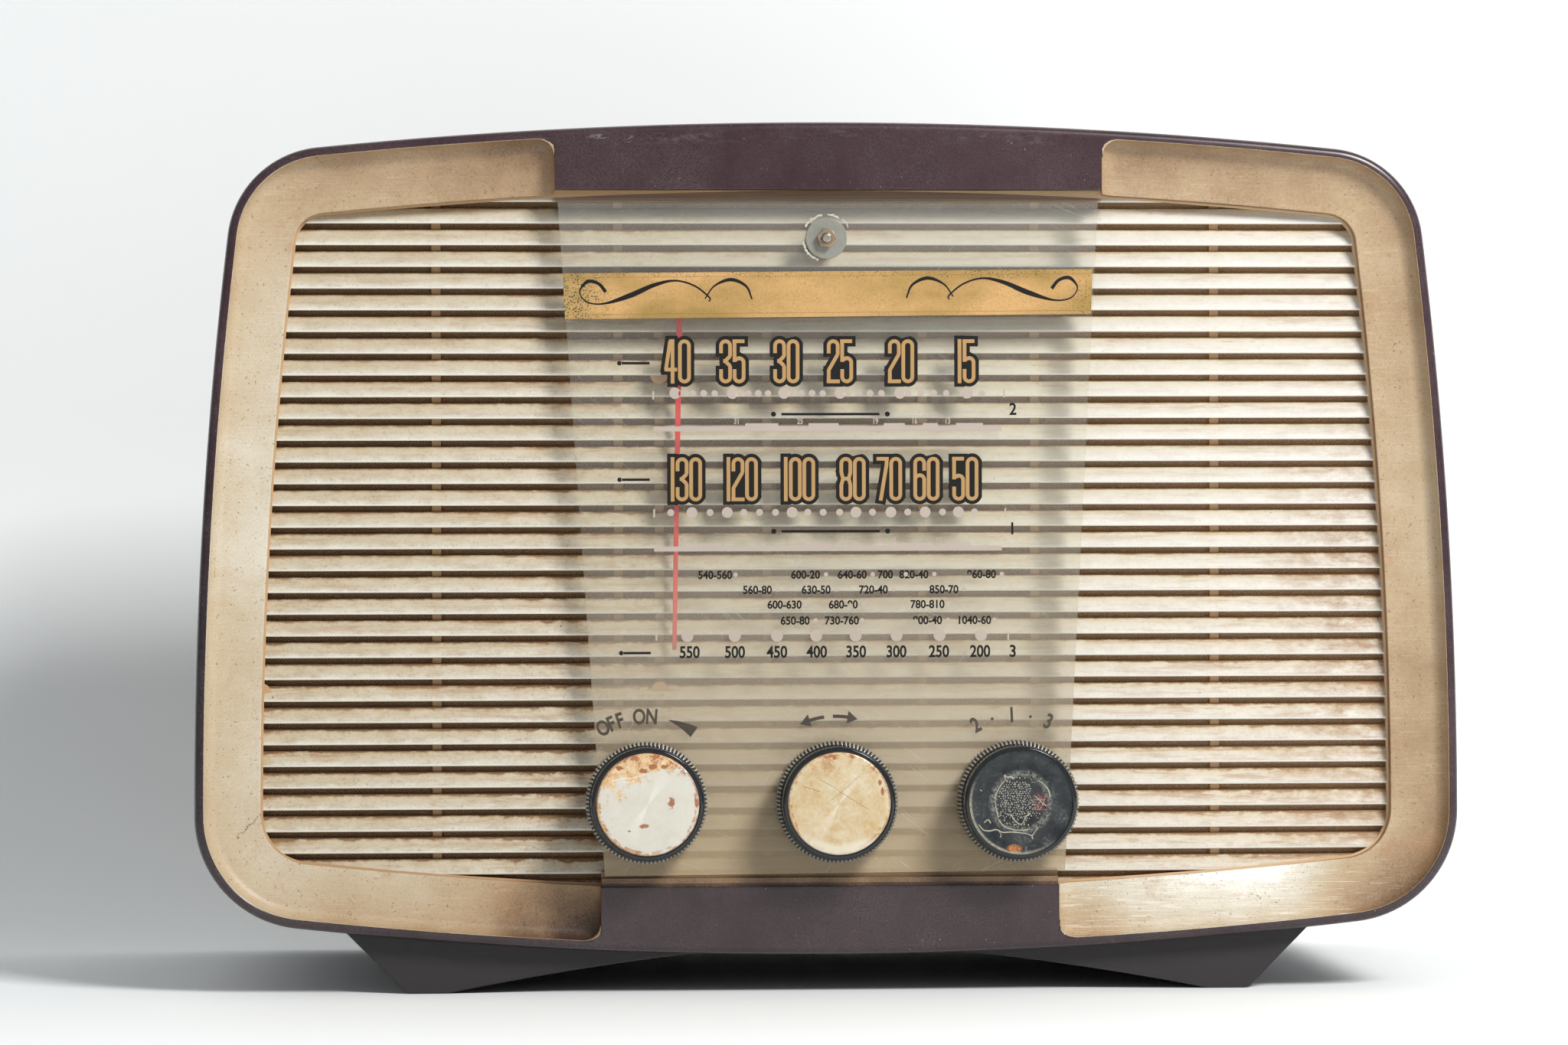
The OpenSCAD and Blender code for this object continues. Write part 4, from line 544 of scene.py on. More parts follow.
def louvre_paint():
    """Aged cream paint on the slats, with brown dirt and painted shade high on each face and near the ends,
    and a painted highlight on each crest.
    """
    g = Finish("louvre_paint")
    x, y, z = g.parts(g.place)
    count = (z - FIRST_SLAT * MM + 111 * PITCH * MM) / (PITCH * MM)
    step, slat_no = count.of("FRACT"), count.of("FLOOR")
    to_right = x.above(0.0, 0.34)
    # Darker near the lips for dirt and the lips' painted shadow, low on the left for dirt and painted shade,
    # and left of the plate for dirt and the plate's painted shadow
    near_end = (x.size() + (0.16 - z) * (0.16 - z) * 0.3).above(0.186, 0.014)
    low_left = x.below(-0.02, 0.2) * z.below(0.13, 0.22)
    low_right = x.above(0.09, 0.1) * z.below(0.1, 0.14)
    left_of_plate = x.above(-0.104, 0.022) * x.below(-0.05, 0.02) * (0.3 + z.below(0.09, 0.08) * 0.7)
    # Streaks that run along each slat, and clouds and flecks that don't
    streak = g.noise(g.joined(x * 30, slat_no * 7.31, z * 420), 6, 0.75)
    wide_streak = g.noise(g.joined(x * 9, slat_no * 3.7, z * 60), 3, 0.6)
    cloud = g.noise((170, 170, 300), 5, 0.7)
    fleck = g.noise(900, 4, 0.75)
    dirt_and_shade = (low_left * 0.55 + low_right * 1.2 + left_of_plate * 0.8 + near_end * 0.45).held()
    soil_and_shade = near_end * 0.12 + low_left * 0.1 + left_of_plate * 0.12 + low_right * 0.16 - to_right * 0.04
    wander = (streak - 0.5) * 0.16 + (wide_streak - 0.5) * 0.2 + (cloud - 0.5) * (0.18 + dirt_and_shade * 0.9)
    # From the crest of each slat up to its top, darker there for dirt and painted shade under the slat above
    up_face = step / FACE_SHARE
    rise = (up_face + wander + soil_and_shade).held()
    left_tones = g.ramp(rise, [
        (0.0, (222, 219, 206)), (0.16, (204, 198, 184)), (0.45, (188, 176, 153)), (0.85, (190, 175, 146)),
        (0.95, (166, 142, 108)), (1.0, (112, 82, 56))])
    right_tones = g.ramp(rise, [
        (0.0, (220, 219, 214)), (0.15, (209, 206, 199)), (0.6, (205, 202, 192)), (0.88, (203, 197, 176)),
        (0.96, (172, 144, 110)), (1.0, (134, 104, 76))])
    amount = 0.5 - to_right * 0.35 + dirt_and_shade * 0.4
    upper = up_face.above(0.55, 0.5)
    # Painted shadow of the right lip, in patches, across the right ends of the slats
    right_end = x.above(0.156, 0.03) * (0.2 + z.below(0.17, 0.05) * 0.8)
    patchy = (0.4 + (cloud - 0.45) * 3.0).held()
    rust = g.noise(g.joined(x * 40, slat_no * 2.3, z * 260), 4, 0.7).above(0.64, 0.06) * (0.35 + dirt_and_shade * 0.3)
    # A painted highlight along the lower edge of each crest
    crest = step.below(0.085, 0.05) * y.below(-0.0798, 0.0006)
    # Painted shadow of the band on the topmost slats, the brown step under the band, and the colour below and
    # behind each slat, dark on the left and lighter to the right, partly painted light
    behind_plate = x.size().below(0.0905, 0.003)
    lines = g.noise(g.joined(x * 4, 0.0, z * 2600), 3, 0.6)
    strip = g.blend((lines - 0.5) * 3 + 0.5, (84, 60, 42), (176, 142, 112))
    deep = y.above(-0.0772, 0.0014)
    below = step.below(0.004, 0.004) * y.above(-0.0804, 0.0002)
    color = g.over(
        g.blend(to_right, left_tones, right_tones),
        (((cloud - 0.5) * 3.0).held() * amount, (158, 132, 98)),
        (((0.5 - cloud) * 2.6).held() * 0.35, (224, 218, 204)),
        (((fleck - 0.53) * 4.0).held() * amount * 0.9, (120, 92, 64)),
        (right_end * up_face.above(0.15, 0.6) * patchy * 0.85, (142, 108, 76)),
        (low_right * 0.4, (200, 180, 148)),
        (streak.above(0.56, 0.1) * (0.12 + dirt_and_shade * 0.34 + upper * 0.18), (150, 114, 80)),
        (rust * upper, (150, 96, 58)),
        (g.noise(420, 3, 0.6).above(0.755, 0.015) * 0.8, (50, 36, 28)),
        (crest * 0.8, g.blend(to_right, (226, 224, 212), (229, 228, 224))),
        # Painted shadow of the band above the dial on the topmost slats
        (behind_plate * z.above(0.2583, 0.007) * 0.92, (70, 67, 62)),
        (behind_plate * z.above(0.2623, 0.0006), strip),
        (deep * 0.85 + below * 0.9, g.blend(to_right, (106, 78, 52), (236, 190, 142))))
    return g.made(color, 0.4 + rise * 0.3 + (fleck - 0.5) * 0.2, fleck, 0.00006)


def clear_plate():
    """Clear acrylic, hazed and finely scratched."""
    g = Finish("clear_acrylic_sheet")
    x, y, z = g.parts(g.place)
    cloud, fine, patch = g.noise(14, 4, 0.55), g.noise(320, 3, 0.6), g.noise(30, 3, 0.6)
    scratches = 0.0
    for slope, level, where in ((1.2, 0.735, patch.above(0.52, 0.1)), (-0.6, 0.75, patch.below(0.48, 0.1)),
                                (2.6, 0.75, patch.above(0.55, 0.1)), (-1.9, 0.76, patch.below(0.45, 0.1))):
        slant = g.joined((x + z * slope) * (3600 / math.hypot(1, slope)), y, z * 60)
        scratches = g.noise(slant, 1, 0.3).above(level, 0.015) * where + scratches
    haze = 0.075 + z.above(0.236, 0.02) * 0.035 + z.below(0.095, 0.12) * 0.42 + (cloud - 0.5) * 0.12
    amount = ((haze + scratches * 0.12) * (0.25 + z.below(0.2617, 0.0008) * 0.75)).held()
    # Inside its edges the plate throws a fainter shadow
    inside = (x.size() - z * 0.06).below(0.0665, 0.004)
    shadow_ray = g.ray("Is Shadow Ray")
    amount = (amount * (1 - shadow_ray * inside * 0.6) + shadow_ray * (1 - inside) * 0.35).held()
    milky = g.over((205, 204, 199), (z.below(0.12, 0.14), (186, 166, 134)),
                   (scratches * 0.6, (236, 236, 232)))
    skin = g.skin(milky, 0.22 + (cloud - 0.5) * 0.1, fine, 0.00002)
    return g.shown(g.either(amount, g.clear((0.97, 0.965, 0.94, 1)), skin))


def printed(name, color, second, roughness=0.5):
    """Printing ink with fine worn specks."""
    g = Finish(name)
    worn = g.noise(700, 4, 0.7)
    shade = g.blend(g.noise(90, 3, 0.5) * 0.7 + worn.above(0.68, 0.06) * 0.5, color, second)
    return g.made(shade, roughness + (worn - 0.5) * 0.2, worn, 0.00001, Specular_IOR_Level=0.25)


def gold_foil():
    """The gold band, tarnished olive in patches, with specks at its left end and along its top."""
    g = Finish("gold_foil")
    x, _, z = g.parts(g.place)
    grain, tarnish = g.noise(1300, 3, 0.7), g.noise(260, 4, 0.7)
    left_end = x.below(-0.077, 0.012)
    specked = left_end * 1.3 + x.above(0.083, 0.006) * 0.7 + z.above(0.2372, 0.002) * 0.5 + 0.28
    speck = g.add("ShaderNodeTexVoronoi", {}, {"Vector": g.place, "Scale": 1500}).below(0.34, 0.1)
    edges = [(z - x * 0.008 - level).size().below(0.00012, 0.0001) * 0.45 for level in (0.23755, 0.22535)]
    gold = g.over(
        (206, 163, 106), (g.noise((24, 24, 60), 3, 0.55).above(0.47, 0.2), (164, 132, 72)),
        (x.size().below(0.02, 0.03) * 0.5, (208, 166, 110)),
        (((grain - 0.42) * 1.4).held() * 0.5, (140, 106, 58)),
        (left_end * (0.35 + (tarnish - 0.5) * 1.5), (128, 112, 60)),
        (speck * tarnish.above(0.48, 0.2) * specked, (46, 48, 30)),
        (g.noise(420, 3, 0.6).above(0.56, 0.06) * x.below(-0.0862, 0.001) * 0.8, (92, 112, 62)),
        *[(edge, (120, 92, 44)) for edge in edges])
    return g.made(gold, 0.42 + (grain - 0.5) * 0.2, grain, 0.00002, Metallic=0.12)


def knob_black():
    """Black moulding, glossy at the front, with light dust in the knurling."""
    g = Finish("knob_black")
    x, y, z = g.parts(g.place)
    cloud, fine = g.noise(120, 4, 0.6), g.noise(1400, 3, 0.7)
    skirt = y.above(-0.10132, 0.0001)
    dust = g.attribute("tooth") * (0.5 + x.below(-0.03, 0.01) * 0.15 + z.above(0.066, 0.03) * 0.2)
    brown = skirt * x.below(0.047, 0.012) * x.above(0.035, 0.01) * z.below(0.07, 0.02) * (cloud - 0.3)
    color = g.over(
        (20, 23, 26), (cloud, (34, 39, 43)), ((dust + (cloud - 0.5) * 0.4 + 0.03) * skirt, (172, 166, 152)),
        (brown, (132, 104, 76)), (fine.above(0.7, 0.05) * 0.3, (130, 128, 122)))
    return g.made(color, 0.1 + skirt * 0.38 + (cloud - 0.5) * 0.1, fine, 0.00001)


def spot(x, z, centre, size, rough):
    """A ragged spot: 1 inside, 0 outside."""
    across = (x - centre[0] * MM) / (size[0] * MM)
    up = (z - centre[1] * MM) / (size[1] * MM)
    return ((across * across + up * up).of("SQRT") + rough).below(1.0, 0.25)


def spun_disc(name, colors, tan_edge, painted_sheen_turn, rust_share, crescent, spots, scratches):
    """A thin lacquered disc, spun with fine rings, stained and rusty from its edge."""
    g = Finish(f"{name}_disc_lacquer")
    _, x, z, radius = g.on_knob(name)
    turn = z.of("ARCTAN2", x)
    cloud, fine = g.noise(70, 4, 0.6), g.noise(900, 4, 0.7)
    blotch, ragged = g.noise(210, 6, 0.75, 0.4), g.noise(520, 5, 0.75)
    face, second, tan_color = colors
    # A painted highlight in a cone through the middle, as the spun rings would catch the light
    painted_sheen = (turn * 2 - painted_sheen_turn * 2).of("COSINE").above(0.93, 0.16) * radius.below(0.0085, 0.011)
    # Tan where the lacquer has gone: towards the upper left, and all round the edge
    to_side = x * math.cos(math.radians(112)) + z * math.sin(math.radians(112))
    tan = ((to_side - tan_edge * MM) * 260 + (blotch - 0.5) * 5.5 + (cloud - 0.5) * 3).above(0.4, 0.5)
    rim = ((radius - 0.0163) * 1100 + (blotch - 0.5) * 7 + (turn + 2.7).of("COSINE") * 0.7).above(0.3, 0.6)
    gone = (tan + rim).held()
    top = (z - 0.0105).above(0.0, 0.004) * blotch.above(0.54, 0.04) * ragged.above(0.5, 0.05) * rust_share
    edge_line = ((radius - 0.01655).size().below(0.0003, 0.0003) * ragged.above(0.5, 0.1)
                 + (radius - 0.0158).size().below(0.0003, 0.0003) * blotch.above(0.52, 0.08))
    rust = blotch.above(0.63, 0.05) * ragged.above(0.52, 0.08) * gone + top * 0.9 + edge_line * 0.8
    for centre, size in spots:
        rust += spot(x, z, centre, size, (ragged - 0.5) * 3.2)
    rust = rust.held()
    layers = [(cloud * 0.5 + (blotch - 0.42) * 3.2, second), (painted_sheen * 0.4, (246, 243, 234)),
              (g.noise(1500, 3, 0.7).above(0.66, 0.06) * 0.3, (150, 122, 88)),
              (gone * 0.9, g.blend((ragged - 0.36) * 3, tan_color, (232, 212, 172))),
              (rust * 0.9, g.blend(fine, (122, 62, 30), (182, 108, 60)))]
    wander = (blotch - 0.5) * 0.002
    for slope, level, low, high, ink in scratches:
        scratch = (z - x * slope - level * MM + wander).size().below(0.00013, 0.0001)
        layers.append((scratch * x.above(low * MM, 0.001) * x.below(high * MM, 0.001) * 0.7, ink))
    low_edge = (z + 0.0112 + (cloud - 0.5) * 0.004).below(0.0, 0.003) * radius.above(0.0135, 0.0015)
    color = g.over(face, *layers, (low_edge * crescent, (226, 220, 202)))
    height = (radius * 21000).of("SINE") * 0.5 * (1 - gone) + ragged * gone * 2.0 + rust
    return g.made(color, 0.32 + gone * 0.3 + (cloud - 0.5) * 0.1, height, 0.000012, Metallic=0.15)


def glue_bed():
    """The bare face of a knob whose disc has gone: dark, streaked with dry glue."""
    g = Finish("glue_bed")
    local, x, z, radius = g.on_knob("band")
    cloud, fine = g.noise(160, 5, 0.65), g.noise(1500, 4, 0.75)
    wisps = g.noise(g.stretched(local, (260, 260, 260)), 4, 0.6, 1.2)
    thread = (wisps - 0.5).size().below(0.01, 0.01) * radius.above(0.0105, 0.001)
    collar = (radius - 0.0094 + (cloud - 0.5) * 0.003).size().below(0.0009, 0.0012)

    def blot(px, pz, narrow, edge, width):
        dx, dz = x - px, z - pz
        return (dx * dx * narrow + dz * dz).of("SQRT").below(edge, width)

    pink = blot(0.0062, -0.0001, 1.0, 0.0026, 0.002)
    orange = blot(-0.0022, -0.0152, 0.35, 0.0013, 0.0008)
    rim = radius.above(0.0163, 0.0006) * z.below(0.004, 0.01) * x.below(0.006, 0.012)
    color = g.over(
        (22, 26, 29), ((cloud - 0.5) * 2 + 0.35, (58, 64, 68)),
        (thread * cloud.above(0.52, 0.1) * 0.4, (150, 152, 146)),
        (radius.below(0.0092, 0.0012) * 0.5, (34, 34, 33)),
        (collar * fine.above(0.5, 0.12) * 0.6, (150, 150, 140)),
        (fine.above(0.60, 0.04) * cloud.above(0.54, 0.06) * 0.5, (116, 118, 112)),
        (pink * fine.above(0.52, 0.1) * 0.7, (170, 96, 96)), (orange * fine.above(0.45, 0.1), (196, 122, 58)),
        (rim * fine.above(0.42, 0.2) * 0.8, (176, 170, 148)))
    return g.made(color, 0.32 + (cloud - 0.5) * 0.3, thread * 0.5 + fine * 0.4 + cloud, 0.0001)


def dry_glue(name, color):
    g = Finish(name)
    fine = g.noise(1300, 4, 0.7)
    return g.made(g.blend(fine, color, (150, 144, 126)), 0.4, fine, 0.00008)


def metal(name, color, second, roughness, grain=(700, 700, 700), metallic=0.9, stain=None):
    """Plated or plain metal with a grain and tarnish."""
    g = Finish(name)
    lines = g.noise(grain, 3, 0.65)
    shade = g.blend(g.noise(60, 5, 0.65) * 0.6 + (lines - 0.5) * 0.8, color, second)
    if stain:
        shade = g.blend(g.noise(130, 6, 0.75).above(0.62, 0.08) * 0.7, shade, stain)
    return g.made(shade, roughness + (lines - 0.5) * 0.25, lines, 0.00003, Metallic=metallic)


def dull(name, color, second, roughness=0.6, scale=90, depth=0.0001, grain=(1, 1, 1), fine_scale=900):
    """Paint, board, moulding or rubber: mottled, with a fine texture."""
    g = Finish(name)
    g.place = g.stretched(g.place, grain)
    cloud, fine = g.noise(scale, 5, 0.65), g.noise(fine_scale, 4, 0.7)
    shade = g.blend(cloud * 0.8 + (fine - 0.5) * 0.7, color, second)
    return g.made(shade, roughness + (fine - 0.5) * 0.2, fine + cloud, depth)


# The lighter tone that the cloth and the ribs take towards the right, partly painted light from the lamp on
# that side, and how much of it
RIGHT_TONE_AND_LIGHT = (236, 200, 158)
WARM_SHARE = 0.6


def woven_cloth():
    """Brown loudspeaker cloth in a plain weave."""
    g = Finish("woven_cloth")
    x, _, z = g.parts(g.place)
    pitch = 2 * math.pi / 0.0011
    weave = ((x * pitch).of("SINE") * (z * pitch).of("SINE")).above(0.0, 0.6)
    thread = g.noise(1600, 3, 0.7)
    # Lighter towards the right: partly painted light
    color = g.over((140, 106, 74), (weave * 0.7 + (thread - 0.5) * 0.6, (192, 154, 112)),
                   (g.noise(30, 4, 0.6).above(0.5, 0.4) * 0.3, (120, 90, 64)),
                   (x.above(0.0, 0.3) * WARM_SHARE, RIGHT_TONE_AND_LIGHT))
    return g.made(color, 0.9, weave + thread * 0.5, 0.0002)


def louvre_back():
    """The panel's ribs and ring behind the slats, in the tone of the cloth beside them."""
    g = Finish("louvre_back")
    x = g.parts(g.place)[0]
    cloud = g.noise(120, 5, 0.65)
    # Lighter towards the right: partly painted light
    color = g.over((202, 164, 122), (cloud, (176, 140, 102)), (x.above(0.0, 0.3) * WARM_SHARE, RIGHT_TONE_AND_LIGHT))
    return g.made(color, 0.85, cloud, 0.0001)


def clear_glass(name, color, amount):
    """Thin blown glass, seen mostly through."""
    g = Finish(name)
    edge = g.add("ShaderNodeLayerWeight", {}, {0: 0.35}, "Facing")
    cloud = g.noise(50, 3, 0.5)
    share = (edge * 0.75 + amount + (cloud - 0.5) * 0.05).held()
    return g.shown(g.either(share, g.clear((0.96, 0.97, 0.97, 1)), g.skin(color, 0.06 + cloud * 0.05)))


case_finish = bakelite_and_paint()
louvre_finish = louvre_paint()
FINISHES = {
    "foot": dull("foot_moulding", (36, 32, 34), (46, 42, 44), 0.5, 60),
    "clear_acrylic": clear_plate(),
    "washer": dull("washer_plastic", (146, 146, 138), (116, 116, 108), 0.35, 300, 0.00005),
    "brass": metal("old_brass", (206, 184, 158), (150, 118, 88), 0.3, stain=(112, 78, 54)),
    "steel": metal("plated_steel", (188, 184, 174), (150, 146, 136), 0.34, (900, 60, 900)),
    "zinc": metal("passivated_sheet", (178, 178, 168), (146, 148, 142), 0.42, (120, 1500, 120), 0.75,
                  (128, 120, 96)),
    "pointer_red": dull("pointer_paint", (228, 40, 48), (214, 34, 42), 0.4, 120, 0.00003),
    "drum": dull("pressed_fibre", (178, 150, 104), (150, 122, 80), 0.55, 120),
    "cord": dull("waxed_thread", (198, 184, 150), (160, 142, 108), 0.8, 900, fine_scale=2600),
    "knob": knob_black(),
    "brown_board": dull("paper_board", (120, 82, 48), (92, 60, 34), 0.45, 60, 0.00005, (1, 1, 6)),
    "aluminium": metal("plain_aluminium", (214, 214, 212), (184, 184, 184), 0.3, (60, 60, 1200), 0.85),
    "ceramic": dull("glazed_ceramic", (226, 218, 198), (206, 194, 168), 0.3, 200, 0.00003),
    "dark_metal": dull("painted_basket", (62, 60, 58), (44, 42, 42), 0.4, 80, 0.00006),
    "iron": dull("varnished_iron", (74, 66, 58), (52, 46, 42), 0.4, 30, 0.00012, (1, 14, 1), 500),
    "paper": dull("felted_paper", (72, 64, 56), (50, 44, 40), 0.95, 300, 0.0003, fine_scale=1600),
    "board": dull("pressed_board", (142, 106, 72), (112, 80, 52), 0.8, 200, 0.0002, fine_scale=1400),
    "cloth": woven_cloth(),
    "winding": dull("waxed_paper", (196, 160, 98), (158, 120, 68), 0.4, 80, 0.00008, (1, 1, 5)),
    "valve_glass": clear_glass("valve_glass", (205, 212, 216), 0.14),
    "electrode": metal("blackened_nickel", (92, 92, 92), (64, 64, 64), 0.45, metallic=0.6),
    "lamp": clear_glass("lamp_glass", (240, 226, 180), 0.45),
    "rubber": dull("black_rubber", (40, 40, 40), (28, 28, 28), 0.7, 200),
    "cover": dull("fibre_cover", (112, 80, 54), (88, 60, 40), 0.75, 160, 0.0002, fine_scale=1300),
}


# The moulded cabinet
def trough_depth_at(u):
    """The trough's section from the rim, u = 0, to the lip, u = 1: a quick fall, then a long slope."""
    if u < 0.25:
        return TROUGH * (0.07 + 0.73 * math.sqrt(1 - (1 - u / 0.25) ** 2))
    return TROUGH * (0.8 + 0.2 * (1 - ((1 - u) / 0.75) ** 2))


def end_rise(d):
    """The share of its depth that a trough has, d past the band's end."""
    if d >= ARM_END:
        return 1.0
    return 1 - (ARM_END - math.sqrt(ARM_END ** 2 - (ARM_END - d) ** 2)) * 0.8 / TROUGH


# How brown the sprayed paint is round the trough, with painted shade where it faces away from the lamp and a
# painted highlight on the lower right arm: place (x, z), then at the lip and at the rim
SPRAY_AND_LIGHT_PLACES = [
    (-198, 160, 0.24, 0.38), (-196, 230, 0.34, 0.5), (-186, 268, 0.55, 0.6), (-140, 278, 0.63, 0.71),
    (-98, 283, 0.72, 0.84), (-200, 80, 0.34, 0.45), (-190, 35, 0.35, 0.48), (-150, 27, 0.34, 0.6),
    (-118, 23, 0.5, 0.68), (-97, 21, 0.8, 0.92), (-84, 20, 0.86, 1.05), (198, 160, 0.6, 0.5),
    (196, 230, 0.6, 0.62), (186, 268, 0.6, 0.7), (140, 278, 0.66, 0.76), (98, 283, 0.68, 0.74),
    (200, 80, 0.66, 0.68), (190, 35, 0.6, 0.86), (140, 26, -0.16, 0.36), (104, 22, 0.03, 0.34),
    (86, 20, 0.42, 0.72)]


def spray_and_light_shade(x, z, u):
    total = weight = 0.0
    for px, pz, at_lip, at_rim in SPRAY_AND_LIGHT_PLACES:
        w = 1 / ((x - px) ** 2 + (z - pz) ** 2 + 60) ** 1.5
        total += w * (at_lip + (at_rim - at_lip) * (1 - u))
        weight += w
    return total / weight


def build_cabinet():
    rings, paint, shade = [], [], []

    def plain(inset, y, band_y=None):
        ring = both_halves(half_outline(inset, inset, inset, TOP_CORNER - inset, BOTTOM_CORNER - inset))
        on_band = y if band_y is None else band_y
        rings.append([at_depth(x, z, on_band if d < 0 else y) for x, z, d, _ in ring])
        paint.extend([0.0] * len(ring))
        shade.extend([0.0] * len(ring))

    def trough(u, depth, band_y):
        at_rim = (RIM, RIM, RIM, TOP_CORNER - RIM, BOTTOM_CORNER - RIM)
        at_lip = (LIP_SIDE, LIP_TOP, LIP_BOTTOM, LIP_TOP_CORNER, LIP_BOTTOM_CORNER)
        insets = [a + (b - a) * u for a, b in zip(at_rim, at_lip)]
        ring = []
        for x, z, d, half in both_halves(half_outline(*insets, ARM_END)):
            if d < 0:
                start = top_at(x, RIM) if half > 0 else bottom_at(x, RIM)
                edge = TOP_BAND_EDGE if half > 0 else OPENING_BOTTOM
                z = edge if u >= 0.999 else start + (edge - start) * u
            ring.append(at_depth(x, z, band_y if d < 0 else depth * end_rise(d)))
            paint.append(1.0 if d >= 0 else 0.0)
            shade.append(spray_and_light_shade(x, z, u) + (0.2 if u > 0.998 and x > 0 else 0.0))
        rings.append(ring)

    for y in (DEPTH, DEPTH * 0.66, DEPTH * 0.33, 12):
        plain(0, y)
    for inset, y in ((0, 3.3), (0.14, 2.2), (0.45, 1.25), (0.95, 0.6), (1.6, 0.22), (2.3, 0.05), (2.9, 0)):
        plain(inset, y)
    trough(0, 0.25, 0)
    for u in (0.006, 0.018, 0.036, 0.06, 0.09, 0.125, 0.165, 0.21, 0.26, 0.33, 0.42, 0.52, 0.62, 0.72, 0.82,
              0.9, 0.955, 0.985):
        trough(u, trough_depth_at(u), 0)
    trough(0.9985, TROUGH + 0.06, 0.03)
    trough(1, TROUGH + 0.35, 0.45)
    trough(1, LIP_BACK, WALL)
    plain(WALL + 2.5, LIP_BACK, WALL)
    plain(WALL, LIP_BACK + 3)
    for inset, y in ((WALL, 60), (WALL, 130), (WALL, DEPTH - 4), (WALL - 2, DEPTH - 4), (WALL - 2, DEPTH)):
        plain(inset, y)
    shape = Shape()
    shape.rings(rings, closed=True, paint=paint, shade=shade)
    for front, low, high, brown in ((0.2, -3, 1.1, 1.0), (0.3, 1.0, 2.8, 0.88), (3, 2.5, 5, 0.78)):
        shape.block(-75.8, 75.8, PLATE_FRONT + front, LIP_BACK, OPENING_BOTTOM + low, OPENING_BOTTOM + high,
                    paint=1.0, shade=brown)
    for x in (-110, 110):
        for y in (50, 172):
            shape.upright(x, y, bottom_at(x, WALL) - 1.5, 34, 8)
    for x in (-75, 75):
        shape.spun(x, 276.1, [(WALL - 1, 4), (31.6, 4)], 20)
    for z in (60, 215):
        for side in (-1, 1):
            px, _, pz = at_depth(side_x(z, WALL) - 4, z, 196)
            shape.spun(side * px, pz, [(174, 6), (196, 6)], 24)
    return shape.piece("cabinet_case", case_finish, 28)


settle(build_cabinet(), stands_for=["cabinet"])


# The louvres
SLAT_COUNT = math.ceil((FIRST_SLAT - OPENING_BOTTOM) / PITCH) + 1
BOARD_SCREWS = [(-188, 100), (-56, 100), (-185, 205), (-56, 205)]
SLAT_SECTION = [(0.55, 0.0), (0.22, 0.08), (0.05, 0.26), (0.0, 0.5), (0.05, 0.85), (0.16, 1.2), (0.75, 2.5),
                (1.5, 3.9), (2.3, 5.0), (2.62, 5.24), (2.95, 5.3), (4.1, 5.3), (2.3, 0.0)]


def repeat_slats():
    """Puts slats one below another, each as long as the cabinet's side allows at its height."""
    # One slat of unit half-length
    shape = Shape()
    shape.rings([[(x * 1000, PANEL_FRONT + y, FIRST_SLAT + z) for y, z in SLAT_SECTION]
                 for x in np.linspace(-1, 1, 3)])
    source = shape.piece("slat_profile", louvre_finish, 40)
    tree = bpy.data.node_groups.new("slats", "GeometryNodeTree")
    sizes = {"Count": SLAT_COUNT, "Pitch": PITCH * MM, "First": FIRST_SLAT * MM,
             "Bow": (SIDE_BOW - LIP_SIDE) * MM, "Bow X": SIDE_CENTRE[0] * MM, "Bow Z": SIDE_CENTRE[1] * MM,
             "Hidden": 3.4 * MM}
    tree.interface.new_socket("Geometry", in_out="INPUT", socket_type="NodeSocketGeometry")
    idents = {}
    for name in sizes:
        kind = "NodeSocketInt" if name == "Count" else "NodeSocketFloat"
        idents[name] = tree.interface.new_socket(name, in_out="INPUT", socket_type=kind).identifier
    tree.interface.new_socket("Geometry", in_out="OUTPUT", socket_type="NodeSocketGeometry")
    g = Graph(tree)
    given = tree.nodes.new("NodeGroupInput")
    size = {name: Socket(g, given.outputs[name]) for name in sizes}
    down = g.joined(0.0, 0.0, size["Pitch"] * -1)
    line = g.add("GeometryNodeMeshLine", {"mode": "OFFSET"}, {"Count": size["Count"], "Offset": down})
    height = size["First"] - g.add("GeometryNodeInputIndex") * size["Pitch"] - size["Bow Z"]
    half = (size["Bow"] * size["Bow"] - height * height).of("SQRT") + size["Bow X"] + size["Hidden"]
    copies = g.add("GeometryNodeInstanceOnPoints", {}, {
        "Points": line, "Instance": Socket(g, given.outputs["Geometry"]), "Scale": g.joined(half, 1.0, 1.0)})
    whole = g.add("GeometryNodeRealizeInstances", {}, {0: copies})
    painted = g.add("GeometryNodeSetMaterial", {}, {"Geometry": whole, "Material": louvre_finish})
    g.add("NodeGroupOutput", {}, {"Geometry": painted})
    maker = source.modifiers.new("slats", "NODES")
    maker.node_group = tree
    for name, value in sizes.items():
        maker[idents[name]] = value
    return evaluated(source)


